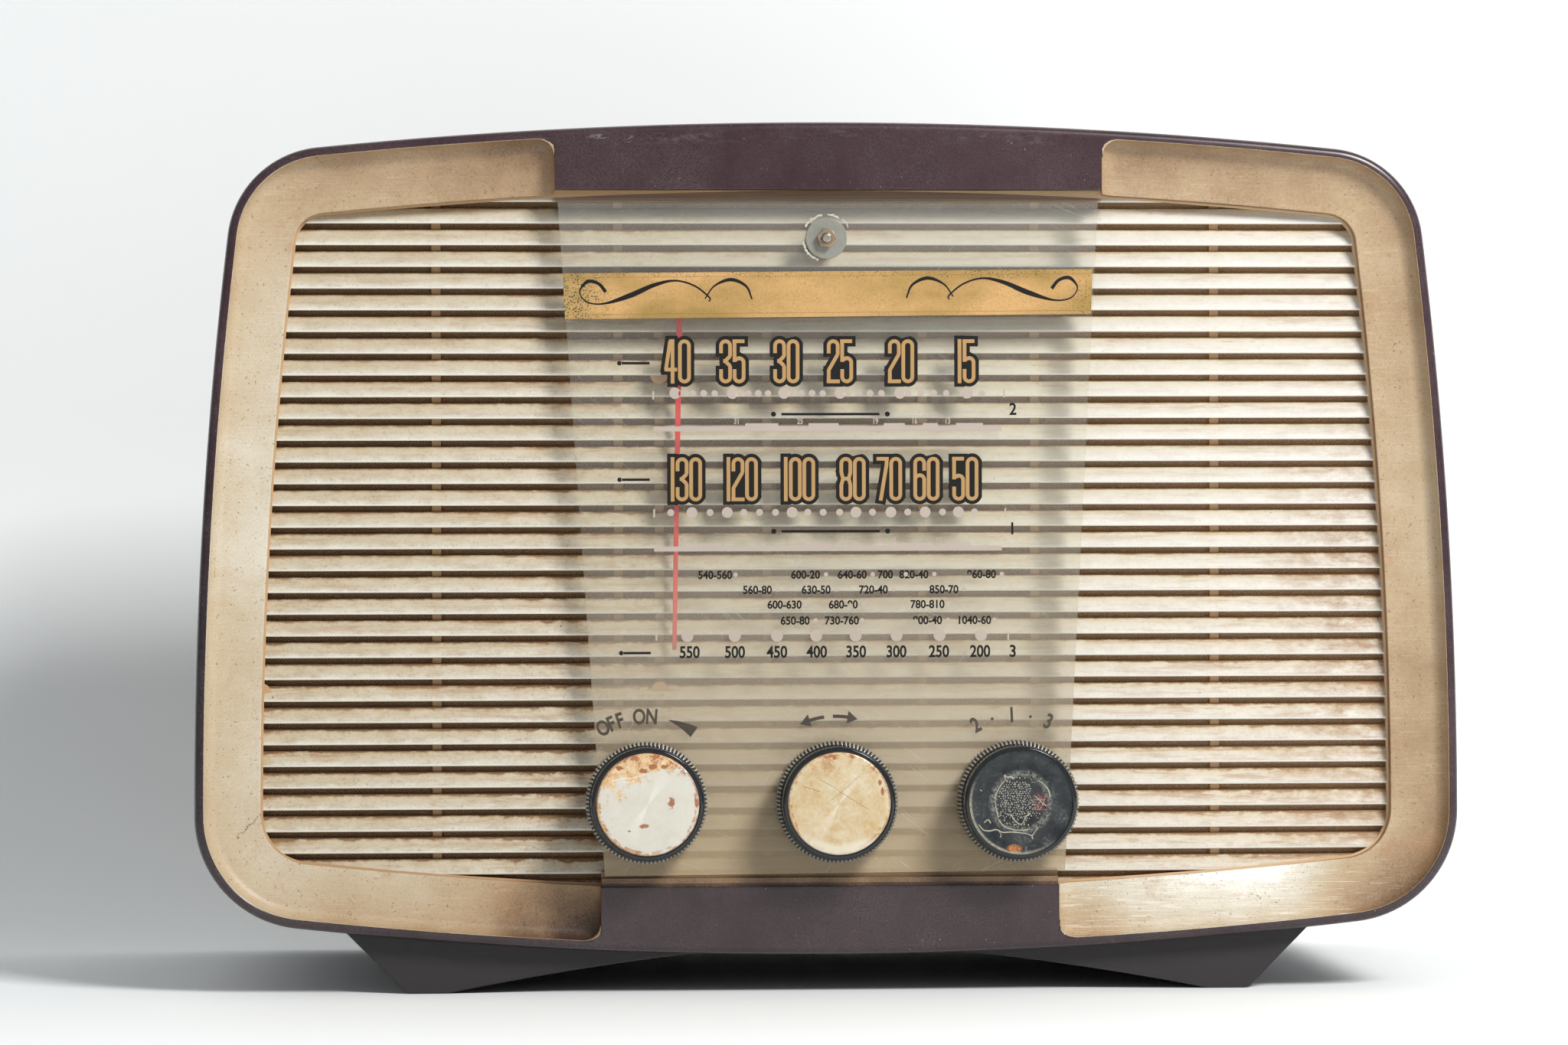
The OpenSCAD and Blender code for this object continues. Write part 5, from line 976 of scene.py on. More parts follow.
def build_louvres():
    slats = new_object("louvre_slats", repeat_slats(), louvre_finish, 40)
    settle(slats, stands_for=["louvre_panel"])
    shape = Shape()
    outer, inner = lip_outline(4, PANEL_FRONT), lip_outline(-0.6, PANEL_FRONT)
    shape.frame_slab(outer, inner, PANEL_FRONT, PANEL_FRONT + 2.5)
    ribs = [(x, bottom_at(x, LIP_BOTTOM - 1), top_at(x, LIP_TOP - 1)) for x in (-130, -69.6, 69.6, 130)]
    # These stop short of the slot in which the pointer's tongue runs
    ribs += [(x, OPENING_BOTTOM + 1, 224) for x in (-56, -20, 32)]
    for x, low, top in ribs:
        shape.block(x - 1.5, x + 1.5, PANEL_FRONT + 4, RIB_BACK, low, top)
    # Collars round the spindles and the stud
    collars = [(x, CONTROL_Z, 0.2, 8, 5, 48) for x in KNOB_PLACES.values()] + [(-1, 249.9, 0.1, 5, 1.6, 40)]
    for x, z, gap, r, hole, n in collars:
        front = PLATE_BACK + gap
        shape.spun(x, z, [(front, r), (RIB_BACK, r), (RIB_BACK, hole), (front, hole)], n, closed=True)
    for x, z in BOARD_SCREWS:
        shape.spun(x, z, [(PANEL_FRONT + 1, 3), (RIB_BACK, 3)], 16)
    settle(shape.piece("louvre_frame", louvre_back()), stands_for=["louvre_panel"])


build_louvres()


# Printing on the dial plate. Numbers are drawn from strokes, by their distance from each stroke
INK_FRONT = PLATE_FRONT - 0.05
INK_THICK = 0.05
FACE_THICK = 0.03
STROKE = 1.22
OUTLINE = 1.17
LABEL_R = 28.0
# Half the width and half the height of a figure's middle line
W, H = 1.5, 6.66
# A bar is x, z and x, z; a bend is the x and z of its middle, its radius, and its first and last angle
TOP_BEND, LOW_BEND = (0, H - W, W, 0, 180), (0, W - H, W, 180, 360)
DIGITS = {
    "0": [TOP_BEND, (-W, H - W, -W, W - H), LOW_BEND, (W, W - H, W, H - W)],
    "1": [(0, -H - 0.67, 0, H + 0.67)],
    "2": [(-W, 2.6, -W, H - W), TOP_BEND, (W, H - W, W, 2.2), (W, 2.3, -W, -2.9), (-W, -2.7, -W, -H),
          (-W - 0.67, -H, W + 0.67, -H)],
    "3": [(-W, 2.7, -W, H - W), TOP_BEND, (W, H - W, W, 1.6), (W, 1.7, -0.15, 0.1), (-0.8, 0.1, 0.1, 0.1),
          (-0.15, 0.1, W, -1.5), (W, -1.4, W, W - H), LOW_BEND, (-W, W - H, -W, -2.6)],
    "4": [(-0.25, H, -W - 0.15, -2.7), (0.55, -H - 0.67, 0.55, H + 0.67), (-0.6, H, 1.1, H),
          (-W - 0.6, -2.7, W + 0.55, -2.7)],
    "5": [(-W - 0.67, H, W + 0.3, H), (-W, H, -W, -0.2), (-W, 0.5, 0, 1.0), (0, -0.45, W, 0, 110),
          (W, -0.45, W, W - H), LOW_BEND, (-W, W - H, -W, -2.6)],
    "6": [(W, 2.7, W, H - W), TOP_BEND, (-W, H - W, -W, W - H), LOW_BEND, (W, W - H, W, -0.3),
          (0, -0.3, W, 0, 180)],
    "7": [(-W - 0.4, H, W + 0.67, H), (W, H, W - 0.1, 4.4), (W - 0.05, 4.8, -0.55, -H - 0.5)],
    "8": [TOP_BEND, (-W, H - W, -W, 2.1), (-W, 2.2, -0.95, 0.1), (-0.95, 0.1, -W, -2.0),
          (-W, -1.9, -W, W - H), LOW_BEND, (W, W - H, W, -1.9), (W, -2.0, 0.95, 0.1), (0.95, 0.1, W, 2.2),
          (W, 2.1, W, H - W), (-0.9, 0.1, 0.9, 0.1)],
}


def stroke_distance(stroke, x, z):
    """Distance from a stroke's middle line, counted so that its ends come out square."""
    if len(stroke) == 4:
        x1, z1, x2, z2 = stroke
        length = math.hypot(x2 - x1, z2 - z1)
        ux, uz = (x2 - x1) / length, (z2 - z1) / length
        dx, dz = x - (x1 + x2) / 2, z - (z1 + z2) / 2
        return np.maximum(np.abs(dz * ux - dx * uz), np.abs(dx * ux + dz * uz) - length / 2 + STROKE / 2)
    cx, cz, r, start, stop = stroke
    angle = np.degrees(np.arctan2(z - cz, x - cx)) % 360
    off = np.abs((angle - (start + stop) / 2 + 180) % 360 - 180)
    away = np.abs(np.hypot(x - cx, z - cz) - r)
    return np.where(off <= (stop - start) / 2 + 0.01, away, 99.0)


def level_loops(field, xs, zs, level):
    """The closed lines where a field of values passes a level."""
    crossing = {}
    links = {}

    def point(a, b):
        key = (a, b) if a < b else (b, a)
        if key not in crossing:
            (ra, ca), (rb, cb) = key
            t = (level - field[key[0]]) / (field[key[1]] - field[key[0]])
            crossing[key] = (xs[ca] + (xs[cb] - xs[ca]) * t, zs[ra] + (zs[rb] - zs[ra]) * t)
        return key

    inside = field < level
    mixed = inside[:-1, :-1].astype(int) + inside[1:, :-1] + inside[:-1, 1:] + inside[1:, 1:]
    for r, c in zip(*np.nonzero((mixed > 0) & (mixed < 4))):
        corners = [(r, c), (r, c + 1), (r + 1, c + 1), (r + 1, c)]
        sides = zip(corners, corners[1:] + corners[:1])
        cuts = [(point(a, b), inside[a]) for a, b in sides if inside[a] != inside[b]]
        for a, b in zip(cuts[::2], cuts[1::2]):
            if not a[1]:
                a, b = b, a
            links[a[0]] = b[0]
    loops = []
    while links:
        start, following = links.popitem()
        loop = [crossing[start]]
        while following != start:
            loop.append(crossing[following])
            following = links.pop(following, start)
        loops.append(thinned(loop))
    return [loop for loop in loops if len(loop) > 3]


def thinned(loop):
    """Drops the points of a loop that lie on a straight line."""
    kept = []
    for i, here in enumerate(loop):
        a = np.array(kept[-1] if kept else loop[i - 1])
        b, c = np.array(here), np.array(loop[(i + 1) % len(loop)])
        ab, bc = b - a, c - b
        if abs(ab[0] * bc[1] - ab[1] * bc[0]) > 0.0006 or np.linalg.norm(ab) > 1.5:
            kept.append(tuple(here))
    return kept


gold_ink = printed("gold_ink", (178, 143, 96), (166, 130, 84))
black_ink = printed("black_ink", (14, 14, 14), (26, 24, 22))
pale_ink = printed("pale_ink", (182, 169, 159), (170, 157, 146), 0.55)
grey_ink = printed("grey_ink", (62, 57, 50), (96, 88, 76))


def print_loops(name, loops, ink, front=INK_FRONT, thick=INK_THICK):
    settle(flat_loops(name, loops, ink, front, thick))


def big_number(text, x, z):
    """A gold number on a black ground, its figures set close and centred on x."""
    halves = [0.92 if digit == "1" else 2.24 for digit in text]
    width = 2 * sum(halves)
    xs = np.arange(-width / 2 - 2.4, width / 2 + 2.4, 0.11)
    zs = np.arange(-9.6, 9.6, 0.11)
    gx, gz = np.meshgrid(xs, zs)
    distances, middle = [], -width / 2
    for digit, half in zip(text, halves):
        middle += half
        distances += [stroke_distance(stroke, gx - middle, gz) for stroke in DIGITS[digit]]
        middle += half
    field = np.min(distances, axis=0)
    outer = max(level_loops(field, xs, zs, STROKE / 2 + OUTLINE), key=len)
    gold = level_loops(field, xs, zs, STROKE / 2)
    print_loops(f"number_{text}_ground", [[(px + x, pz + z) for px, pz in outer]], black_ink)
    print_loops(f"number_{text}_face", [[(px + x, pz + z) for px, pz in loop] for loop in gold], gold_ink,
                INK_FRONT - FACE_THICK, FACE_THICK)


def small_text(text, x, z, height, ink, narrow=0.72, bold=0.0, turn=0.0):
    """Small plain figures in Blender's own face."""
    letters = bpy.data.curves.new("figures", "FONT")
    letters.body = text
    letters.size = height * 1.38 * MM
    letters.align_x = "CENTER"
    letters.align_y = "CENTER"
    letters.extrude = 0.02 * MM
    letters.offset = bold * MM
    holder = bpy.data.objects.new("figures_text", letters)
    bpy.context.scene.collection.objects.link(holder)
    mesh = evaluated(holder)
    mesh.transform(Matrix.Translation((x * MM, z * MM, 0)) @ Matrix.Rotation(turn, 4, "Z")
                   @ Matrix.Diagonal((narrow, 1, 1, 1)))
    # From the x, y plane up to the plate's front
    back = (INK_FRONT + FACE_THICK - RIM_BACK) * MM
    mesh.transform(Matrix(((1, 0, 0, 0), (0, 0, -1, back), (0, 1, 0, 0), (0, 0, 0, 1))))
    with mesh_work(mesh, mesh) as work:
        bmesh.ops.remove_doubles(work, verts=work.verts, dist=1e-7)
        bmesh.ops.recalc_face_normals(work, faces=work.faces)
    return new_object("figures", mesh, ink)


def joined_piece(name, pieces):
    """Joins several printed pieces to one."""
    mesh = bpy.data.meshes.new(name)
    ink = pieces[0].data.materials[0]
    with mesh_work(mesh, *[piece.data for piece in pieces]):
        for piece in pieces:
            bpy.data.objects.remove(piece)
    settle(new_object(name, mesh, ink))


def round_knob(cx, r, degrees):
    """A point round a knob, counted clockwise from straight up."""
    a = math.radians(degrees)
    return (cx + r * math.sin(a), CONTROL_Z + r * math.cos(a))


def arc_text(text, cx, start, step):
    """Figures or letters set round a knob."""
    return [small_text(letter, *round_knob(cx, LABEL_R, start + step * i), 5.0, grey_ink, 0.76, 0.2,
                       -math.radians(start + step * i)) for i, letter in enumerate(text)]


def wedge_arc(cx, start, stop):
    """A mark that grows wider round the volume knob."""
    outer, inner = [], []
    for i in range(13):
        turn = start + (stop - start) * i / 12
        half = 0.12 + 1.9 * i / 12
        outer.append(round_knob(cx, LABEL_R + half, turn))
        inner.append(round_knob(cx, LABEL_R - half, turn))
    return outer + inner[::-1]


def arrow_arc(cx, side):
    def at(r, degrees):
        return round_knob(cx, r, side * degrees - 4.7)

    turns = [3 + 10 * i / 8 for i in range(9)]
    outer, inner = ([at(LABEL_R + half, turn) for turn in turns] for half in (0.55, -0.55))
    return outer + [at(LABEL_R + 2.1, 13), at(LABEL_R, 20), at(LABEL_R - 2.1, 13)] + inner[::-1]


NUMBERS = {
    209.2: {"40": -50.3, "35": -32.2, "30": -14.3, "25": 3.5, "20": 23.8, "15": 45.5},
    170.2: {"130": -47.6, "120": -29.1, "100": -10.1, "80": 7.6, "70": 19.7, "60": 32.15, "50": 45.1},
}
LOW_NUMBERS = {"550": -46.6, "500": -31.6, "450": -17.6, "400": -4.4, "350": 8.6, "300": 22.0, "250": 36.2,
               "200": 49.9}
RANGES = [("2", 61.0, 193.1), ("1", 60.7, 153.5), ("3", 60.8, 112.8)]
# Spans of numbers along the low scale, by height: x of each one's dot less 6.2, and its text
SPANS = {
    138.4: {-37.5: "540-560", -7.5: "600-20", 8: "640-60", 19: "700", 28.5: "820-40", 51: "960-80"},
    133.4: {-23.5: "560-80", -4: "630-50", 15: "720-40", 38.5: "850-70"},
    128.5: {-14.5: "600-630", 5: "680-90", 33: "780-810"},
    123.2: {-11: "650-80", 4.5: "730-760", 33: "900-40", 48.5: "1040-60"},
}
# Raised parts of the two pale band lines, by height: start, end and text
STEPS = {
    187: [(-28, -17, "31"), (-7, 3, "25"), (18, 25, "19"), (31, 36, "16"), (42, 51, "13")],
    147.3: [(-46, -36, "110"), (-6, 1, "90"), (24, 33, "65"), (39, 47, "52")],
}
TOP_DOTS = [-51.2, -32.2, -15.1, 3.5, 23.4, 45.7]


def scale_dots():
    """The scales' dots: x, z and width."""
    dots = [(x, 198.65, 3.75) for x in TOP_DOTS]
    dots += [(x, 159.2, 3.6) for x in (-45.7, -34.0, -12.5, 8.7, 20.3, 31.7, 42.75)]
    dots += [(x, 118.35, 4.0) for x in (-47.3, -31.6, -17.6, -4.6, 8.5, 22.1, 36.4, 50.2)]
    for a, b in zip(TOP_DOTS, TOP_DOTS[1:]):
        dots += [(a + (b - a) * (0.8 * k + 0.5) / 4.2, 198.6, 2.3 - 0.12 * (k % 2)) for k in range(4)]
    dots.append((50.7, 198.5, 2.2))
    return dots + [(x, 159.2, 2.3)
                   for x in (-52.7, -39.7, -28.5, -23.3, -18.0, -7.3, -2.2, 3.25, 14.2, 25.9, 37.5, 48.1)]


def print_plate():
    for z, row in NUMBERS.items():
        for text, x in row.items():
            big_number(text, x, z)
    loops = [circle(x, z, d / 2, 28) for x, z, d in scale_dots()]
    for x, z in ((-58.4, 198.0), (58.0, 198.6), (-58.2, 159.0), (58.4, 159.0), (-57.5, 118.3), (59.3, 118.1)):
        loops.append(rect_loop(x - 0.3, x + 0.3, z - 1.4, z + 1.4))
    loops += [circle(x + 6.2, z + 0.2, 0.75, 16) for z, spans in SPANS.items() for x in spans]
    for z, parts in STEPS.items():
        outline = [(-58.3, z - 0.95), (57.2, z - 0.95), (57.2, z + 0.7)]
        for a, b, _ in reversed(parts):
            outline += [(b, z + 0.7), (b, z + 1.7), (a, z + 1.7), (a, z + 0.7)]
        loops.append(outline + [(-58.3, z + 0.7)])
    print_loops("dial_dots", loops, pale_ink)
    joined_piece("band_figures", [small_text(text, a - 2.8, z + 2.3, 2.0, pale_ink, bold=0.05)
                                  for z, parts in STEPS.items() for a, _, text in parts])
    figures = [small_text(text, x, 112.8, 3.9, black_ink, 0.84, 0.13) for text, x in LOW_NUMBERS.items()]
    figures += [small_text(text, x - 0.6, z, 2.7, black_ink, 0.92, 0.1)
                for z, spans in SPANS.items() for x, text in spans.items()]
    figures += [small_text(*label, 4.0, black_ink, 0.9, 0.12) for label in RANGES]
    joined_piece("scale_figures", figures)
    # A short rule stands for each line of words
    marks = [rect_loop(-69.0, -59.6, z - 0.42, z + 0.42) for z in (208.6, 170.1)]
    marks += [circle(-69.6, z, 0.75, 16) for z in (208.6, 170.1)]
    marks += [rect_loop(-68.6, -59.4, 112.4, 113.2), circle(-69.2, 112.8, 0.75, 16)]
    for z in (191.7, 152.9):
        marks.append(rect_loop(-16.0, 16.6, z - 0.42, z + 0.42))
        marks += [circle(x, z, 0.85, 16) for x in (-18.6, 19.2)]
    print_loops("scale_marks", marks, black_ink)
    volume, tuning, band = KNOB_PLACES.values()
    letters = arc_text("OFF", volume, -30, 6.2) + arc_text("ON", volume, -4.3, 8.4)
    letters += arc_text("213", band, -28, 25.5)
    joined_piece("control_figures", letters)
    shapes = [wedge_arc(volume, 16, 35), arrow_arc(tuning, -1), arrow_arc(tuning, 1)]
    shapes += [circle(*round_knob(band, LABEL_R, math.degrees(a)), 0.5, 12) for a in (-0.28, 0.18)]
    print_loops("control_marks", shapes, grey_ink)


print_plate()


# The gold band and its scrolls
def smooth_path(points, n=14):
    """A smooth line through points of (x, z, width)."""
    pts = [np.array(p, float) for p in points]
    pts = [2 * pts[0] - pts[1]] + pts + [2 * pts[-1] - pts[-2]]
    line = []
    for a, b, c, d in zip(pts, pts[1:], pts[2:], pts[3:]):
        for t in (i / n for i in range(n)):
            line.append(0.5 * (2 * b + (c - a) * t + (2 * a - 5 * b + 4 * c - d) * t * t
                               + (3 * b - a - 3 * c + d) * t ** 3))
    return line + [pts[-2]]


def way_at(line, i):
    """The direction of a line at one of its points."""
    way = (line[min(i + 1, len(line) - 1)] - line[max(i - 1, 0)])[:2]
    return way / max(np.linalg.norm(way), 1e-9)


def ribbon(points):
    line = smooth_path(points)
    left, right = [], []
    for i, p in enumerate(line):
        way = way_at(line, i)
        side = np.array([-way[1], way[0]]) * max(p[2] * 1.3, 0.1) / 2
        left.append(tuple(p[:2] + side))
        right.append(tuple(p[:2] - side))
    return left + right[::-1]


def build_band():
    shape = Shape()
    shape.slab([(-88.2, 238.31), (87.68, 239.72), (87.14, 224.85), (-87.48, 223.14)],
               PLATE_FRONT - 0.12, PLATE_FRONT)
    settle(shape.piece("gold_band", gold_foil()))
    # A wave with a coiled end, a small knot and a falling tail
    scroll = [(-74.0, 232.4, 0.9), (-76.4, 235.2, 0.8), (-80.0, 235.9, 0.9), (-82.6, 232.6, 0.35),
              (-80.2, 229.2, 0.35), (-74.6, 228.6, 0.5), (-66.0, 231.2, 1.3), (-58.0, 234.6, 1.0),
              (-51.0, 236.0, 0.5), (-44.6, 234.2, 0.45), (-39.8, 230.4, 0.4), (-39.9, 229.0, 0.3)]
    tail = [(-41.2, 230.0, 0.3), (-38.0, 234.2, 0.45), (-32.6, 236.2, 0.9), (-27.6, 234.0, 0.6),
            (-25.6, 229.6, 0.35)]
    for side, name in ((1, "left"), (-1, "right")):
        pieces = []
        for i, path in enumerate((scroll, tail)):
            line = [(x * side, z + (x * side) * 0.008 + 0.3, w) for x, z, w in path]
            pieces.append(flat_loops(f"scroll_{name}_{i}", [ribbon(line)], black_ink,
                                     PLATE_FRONT - 0.15 - 0.01 * i, 0.03))
        joined_piece(f"scroll_{name}", pieces)


build_band()


# Knobs: a knurled skirt behind a plain glossy ring, and a face sunk inside the ring
TOOTH_CUTS = (1.0, 0.5, 0.06, 0.0, 0.06, 0.5)
TEETH = 90
SUNK_FACE = KNOB_FRONT + 1.2


def build_knob(name, x):
    # From the skirt's back to the middle of the sunk face: y, radius and depth of the knurling
    steps = [(KNOB_BACK, 19.5, 0.5), (KNOB_BACK - 0.3, 20.1, 0.65), (KNOB_BACK - 8.2, 20.1, 0.65),
             (KNOB_BACK - 8.7, 19.7, 0.55), (KNOB_BACK - 9.1, 19.1, 0.3), (KNOB_BACK - 9.2, 18.8, 0),
             (KNOB_FRONT + 3.6, 18.7, 0)]
    for a in (math.radians(90 * k / 8) for k in range(1, 8)):
        steps.append((KNOB_FRONT + 1.7 - 1.7 * math.sin(a), 17.7 + 0.95 * math.cos(a), 0))
    steps += [(KNOB_FRONT + 0.03, 17.35, 0), (KNOB_FRONT + 0.25, 17.12, 0)]
    steps += [(SUNK_FACE, r, 0) for r in (17.1, 16.9, 12, 6, 0.02)]
    n = TEETH * len(TOOTH_CUTS)
    rings, tips = [], []
    for y, r, depth in steps:
        cuts = [depth * cut for cut in TOOTH_CUTS] * TEETH
        turns = [2 * math.pi * i / n for i in range(n)]
        rings.append([(x + (r - cut) * math.cos(a), y, CONTROL_Z + (r - cut) * math.sin(a))
                      for cut, a in zip(cuts, turns)])
        tips += [1.0 if depth > 0 and cut < 0.1 else 0.0 for cut in TOOTH_CUTS] * TEETH
    shape = Shape()
    shape.rings(rings, tooth=tips)
    settle(shape.piece(f"{name}_knob_moulding", FINISHES["knob"], 36), name, [f"{name}_knob"])


for knob_name, knob_x in KNOB_PLACES.items():
    build_knob(knob_name, knob_x)


def build_disc(name, *look):
    front, back, r = KNOB_FRONT + 0.12, SUNK_FACE - 0.01, 16.95
    shape = Shape()
    shape.spun(KNOB_PLACES[name], CONTROL_Z, [
        (back, 0.0), (back, r), (front + 0.62, r), (front + 0.36, r - 0.12), (front + 0.16, r - 0.42),
        (front + 0.1, r - 0.8), (front + 0.05, 11), (front + 0.02, 5), (front, 0.0)], 128)
    settle(shape.piece(f"{name}_disc_face", spun_disc(name, *look), 30), name, [f"{name}_disc"])


build_disc(
    "volume", [(215, 211, 200), (208, 203, 190), (200, 152, 92)], 6.6, 1.05, 1.0, 0.0,
    [((-1.0, -6.9), (1.5, 0.7)), ((7.7, 0.7), (1.2, 1.5)), ((-6.2, -8.7), (0.5, 0.3)),
     ((16.0, 0.6), (0.7, 1.3)), ((1.6, 12.4), (1.6, 0.8)), ((-1.2, 11.0), (1.6, 0.7)),
     ((5.4, 12.6), (1.3, 0.7)), ((-9.5, 12.0), (1.2, 0.7))],
    [(0.2, 10.0, -11.5, -2.0, (240, 234, 220)), (0.24, 9.0, -8.5, -4.5, (236, 228, 212))])
build_disc(
    "tuning", [(214, 202, 172), (198, 166, 118), (202, 160, 112)], 14.2, 1.0, 0.5, 0.7,
    [((-1.6, 14.9), (0.6, 0.6)), ((14.2, 3.8), (0.5, 1.4)), ((13.4, 7.0), (0.6, 0.9))],
    [(0.85, 3.4, -3.4, 6.6, (150, 124, 90)), (-0.62, 4.0, -6.5, 9.5, (146, 118, 84)),
     (-0.3, 2.2, -12.0, -6.6, (128, 96, 60))])


# The third knob's face has lost its disc: glue remains in ridges, threads and small pimples
RIDGES = [
    [(-14.2, -7.0), (-12.5, -8.9), (-10.4, -9.2), (-8.2, -8.8), (-6.0, -9.7), (-3.4, -9.8), (-0.6, -10.0),
     (2.2, -10.4), (3.6, -10.9), (4.6, -9.6), (5.6, -8.2)],
    [(-7.4, -9.2), (-6.6, -10.6), (-7.0, -11.6)], [(3.4, -10.9), (3.9, -12.1)],
    [(-5.6, 9.2), (-4.6, 8.4), (-3.2, 8.3), (-2.2, 7.6)],
    [(-5.6, 9.2), (-5.2, 7.6), (-6.6, 5.6), (-8.2, 2.8), (-8.6, 0.0), (-8.0, -3.0), (-7.6, -5.4)],
    [(-7.6, -5.4), (-6.0, -7.4), (-3.6, -8.8), (-0.8, -9.2), (2.4, -9.0)],
    [(5.6, 7.2), (7.4, 6.2), (9.0, 4.2), (9.6, 1.6)], [(4.4, 2.2), (5.8, 0.9), (7.2, -0.4), (8.4, -1.2)],
    [(-3.4, -3.6), (-2.0, -6.2), (0.2, -7.2), (1.4, -5.0), (3.2, -3.4)],
    [(-13.6, 4.4), (-12.8, 3.8)], [(-12.2, -6.6), (-11.0, -5.6), (-10.0, -6.8)]]


def build_glue_face():
    x0 = KNOB_PLACES["band"]
    bed = Shape()
    bed.spun(x0, CONTROL_Z, [(SUNK_FACE - depth, r) for depth, r in (
        (-0.02, 0.0), (-0.02, 17.2), (0.35, 17.2), (0.42, 16.7), (0.15, 16.3), (0.22, 15.9), (0.1, 15.5),
        (0.1, 10.2), (0.22, 9.9), (0.08, 9.5), (0.08, 0.0))], 96)
    settle(bed.piece("band_knob_bed", glue_bed(), 50), "band")
    rng = random.Random(4)
    pimples = Shape()
    for i in range(-13, 14):
        for j in range(-13, 14):
            px = (i + 0.5 * (j % 2)) * 0.82 + rng.uniform(-0.22, 0.22)
            pz = j * 0.74 + rng.uniform(-0.22, 0.22)
            far = math.hypot(px + 0.6, pz - 0.4)
            if far > 8.4 or (px > 3.2 and 1.0 < pz < 6.5) or (far > 6.4 and rng.random() < 0.5):
                continue
            r = rng.uniform(0.2, 0.34)
            root = SUNK_FACE - 0.07
            dome = [(root, r), (root - r * 0.75, r * 0.75), (root - r * 1.1, 0.0)]
            pimples.spun(x0 + px, CONTROL_Z + pz, dome, 7)
    skin = dull("glue_skin", (120, 120, 113), (196, 196, 188), 0.16, 700)
    settle(pimples.piece("glue_pimples", skin, 60), "band")
    ridges = Shape()
    for path in RIDGES:
        wobble = [(px + rng.uniform(-0.12, 0.12), pz + rng.uniform(-0.12, 0.12), rng.uniform(0.28, 0.62))
                  for px, pz in path]
        line = smooth_path(wobble, 6)
        rings = []
        for i, p in enumerate(line):
            way = way_at(line, i)
            half = p[2] * (0.35 if i in (0, len(line) - 1) else 1.0) / 2
            ring = []
            for t in np.linspace(0, 2 * math.pi, 7)[:-1]:
                out = half * math.cos(t)
                ring.append((x0 + p[0] - way[1] * out, SUNK_FACE - 0.06 - half * 1.2 * math.sin(t),
                             CONTROL_Z + p[1] + way[0] * out))
            rings.append(ring)
        ridges.rings(rings)
    settle(ridges.piece("glue_ridges", dry_glue("dry_glue", (196, 192, 176)), 60), "band")


build_glue_face()


# The stud's fixing: broken arcs of old glue round the washer
def build_glue_arcs():
    shape = Shape()
    rng = random.Random(11)
    for start, stop, r, wide in ((-62, -8, 7.7, 1.0), (4, 34, 7.9, 0.8), (198, 262, 7.6, 1.1),
                                 (40, 66, 8.3, 0.45)):
        n = int((stop - start) / 3)
        rings = []
        for i in range(n + 1):
            a = math.radians(start + (stop - start) * i / n)
            half = wide / 2 * rng.uniform(0.45, 1.1) * (0.3 if i in (0, n) else 1)
            middle = r + rng.uniform(-0.2, 0.2)
            ring = []
            for t in np.linspace(0, 2 * math.pi, 9)[:-1]:
                out = middle + half * math.cos(t)
                ring.append((-1.16 + out * math.sin(a), PLATE_FRONT - 0.02 - 0.5 * half * math.sin(t),
                             249.96 + out * math.cos(a)))
            rings.append(ring)
        shape.rings(rings)
    settle(shape.piece("stud_glue", dry_glue("white_glue", (226, 222, 206)), 60))


build_glue_arcs()


# The loudspeaker cloth behind the slats
def build_cloth():
    outline = lip_outline(3, PANEL_FRONT, corner_n=10, side_n=10, arm_n=6)[::-1]
    holes = [rect_loop(-65.5, 65.5, 228.7, 236.7)]
    holes += [circle(x, CONTROL_Z, 5.5, 40) for x in KNOB_PLACES.values()]
    holes += [circle(x, z, 1.8, 12) for x, z in BOARD_SCREWS]
    cloth = flat_loops("front_cloth", [outline] + holes, FINISHES["cloth"], RIB_BACK + 0.05, 0.5)

    def area(loop):
        return abs(sum(a[0] * b[1] - b[0] * a[1] for a, b in zip(loop, loop[1:] + loop[:1]))) / 2

    xs, zs = [p[0] for p in outline], [p[1] for p in outline]
    width, length = (max(xs) - min(xs)) * MM, (max(zs) - min(zs)) * MM
    real = (area(outline) - sum(area(h) for h in holes)) * MM * MM
    settle(cloth, stands_for=["speaker_cloth"])


build_cloth()

# Every other piece keeps the shape of its solid, with its doubles merged, and the edges of those listed here
# rounded
BEVEL_WIDTHS = {
    0.9: "left_foot right_foot transformer_windings", 0.8: "if_cans",
    0.5: "dial_stud back_cover mains_transformer output_transformer",
    0.4: "chassis baffle_board valve_holders socket_strip", 0.35: "dial_nut back_screws",
    0.3: "chassis_bolts control_nuts tag_board spindle_bush pointer_carriage",
    0.25: "dial_plate dial_washer panel_screws", 0.2: "gang_frame gang_insulators", 0.15: "drive_bracket",
    0.12: "pointer"}
BEVELS = {node: width for width, nodes in BEVEL_WIDTHS.items() for node in nodes.split()}


def dress_node(node):
    mesh = bpy.data.meshes.new(f"{node}_piece")
    with mesh_work(mesh, cad_nodes[node].data) as work:
        bmesh.ops.remove_doubles(work, verts=work.verts, dist=2e-6)
        bmesh.ops.dissolve_limit(work, angle_limit=0.01, verts=work.verts, edges=work.edges)
    piece = new_object(f"{node}_piece", mesh, FINISHES[slot_of_node[node]])
    if node in BEVELS:
        edge = piece.modifiers.new("edges", "BEVEL")
        edge.width = BEVELS[node] * MM
        edge.segments = 2
        edge.limit_method = "ANGLE"
        edge.angle_limit = math.radians(35)
        edge.use_clamp_overlap = True
    settle(piece, body_of_node[node], [node])


for node_name in cad_nodes:
    if node_name not in already_made:
        dress_node(node_name)


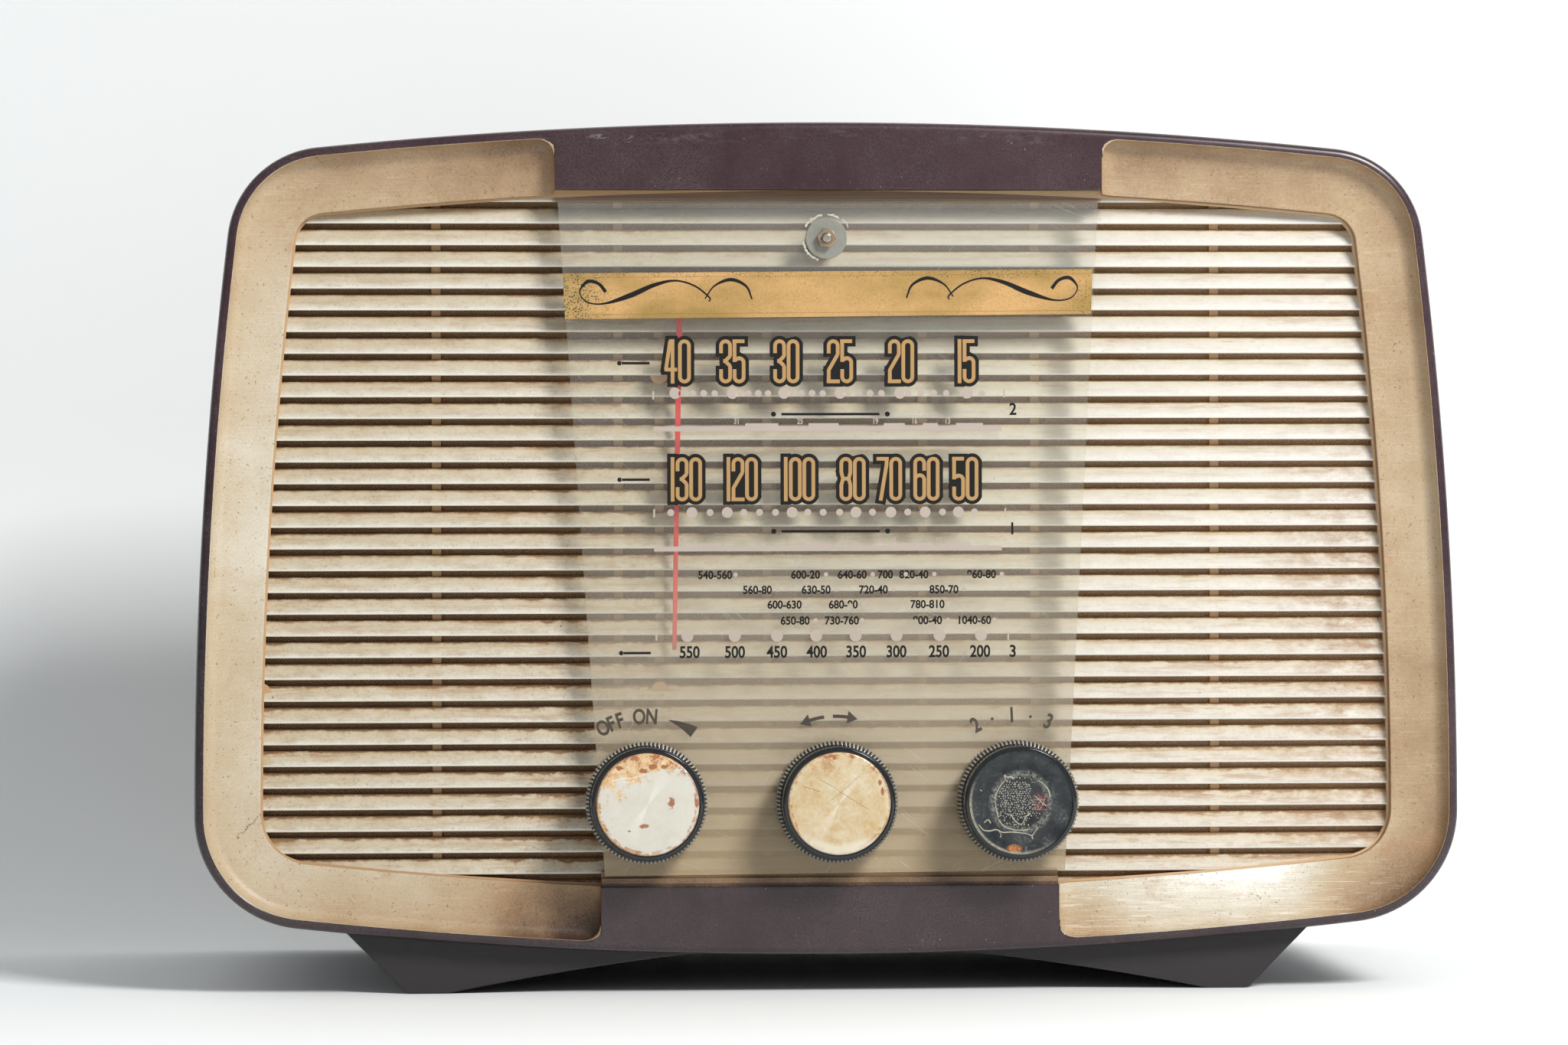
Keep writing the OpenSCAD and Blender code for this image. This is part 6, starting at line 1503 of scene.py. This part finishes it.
# A plain pale floor that curves up behind
def build_stage():
    start, radius = 0.115, 0.2
    rows = [(-2.6, 0.0), (-1.2, 0.0), (start, 0.0)]
    for a in (math.pi / 2 * i / 16 for i in range(1, 17)):
        rows.append((start + radius * math.sin(a), radius * (1 - math.cos(a))))
    rows.append((start + radius, 2.4))
    mesh = bpy.data.meshes.new("paper_sweep")
    mesh.from_pydata([(x, y, z) for y, z in rows for x in (-3.0, 3.0)], [],
                     [(2 * i, 2 * i + 1, 2 * i + 3, 2 * i + 2) for i in range(len(rows) - 1)])
    g = Finish("paper")
    paper = g.blend(g.noise(5, 2, 0.5) * 0.1, (246, 249, 250), (236, 240, 242))
    # From behind, the camera sees the object through the paper
    behind = g.add("ShaderNodeNewGeometry", output="Backfacing")
    shader = g.either(behind * g.ray("Is Camera Ray"), g.skin(paper, 0.9), g.clear())
    new_object("paper_sweep", mesh, g.shown(shader), 60)


def light_scene():
    """One soft window to the right, and even light from a white room."""
    aim = Vector((0.0, 0.0, 0.15))
    azimuth, height, distance = math.radians(33), math.radians(37), 2.0
    level = math.cos(height)
    way = Vector((math.sin(azimuth) * level, -math.cos(azimuth) * level, math.sin(height)))
    lamp = bpy.data.lights.new("window_light", "AREA")
    lamp.shape = "SQUARE"
    lamp.size = 0.55
    lamp.energy = 38
    lamp.color = (1.0, 0.985, 0.96)
    holder = bpy.data.objects.new("window_light", lamp)
    holder.location = aim + way * distance
    holder.rotation_euler = (aim - holder.location).to_track_quat("-Z", "Y").to_euler()
    bpy.context.scene.collection.objects.link(holder)
    world = bpy.data.worlds.new("studio")
    world.use_nodes = True
    world.node_tree.nodes.clear()
    g = Graph(world.node_tree)
    ambient = g.add("ShaderNodeBackground", {}, {0: (0.97, 0.985, 1.0, 1), 1: 0.34})
    white = g.add("ShaderNodeBackground", {}, {0: (1, 1, 1, 1), 1: 1.0})
    g.add("ShaderNodeOutputWorld", {}, {"Surface": g.either(g.ray("Is Camera Ray"), ambient, white)})
    bpy.context.scene.world = world
    bpy.context.scene.view_settings.view_transform = "Standard"


build_stage()
light_scene()
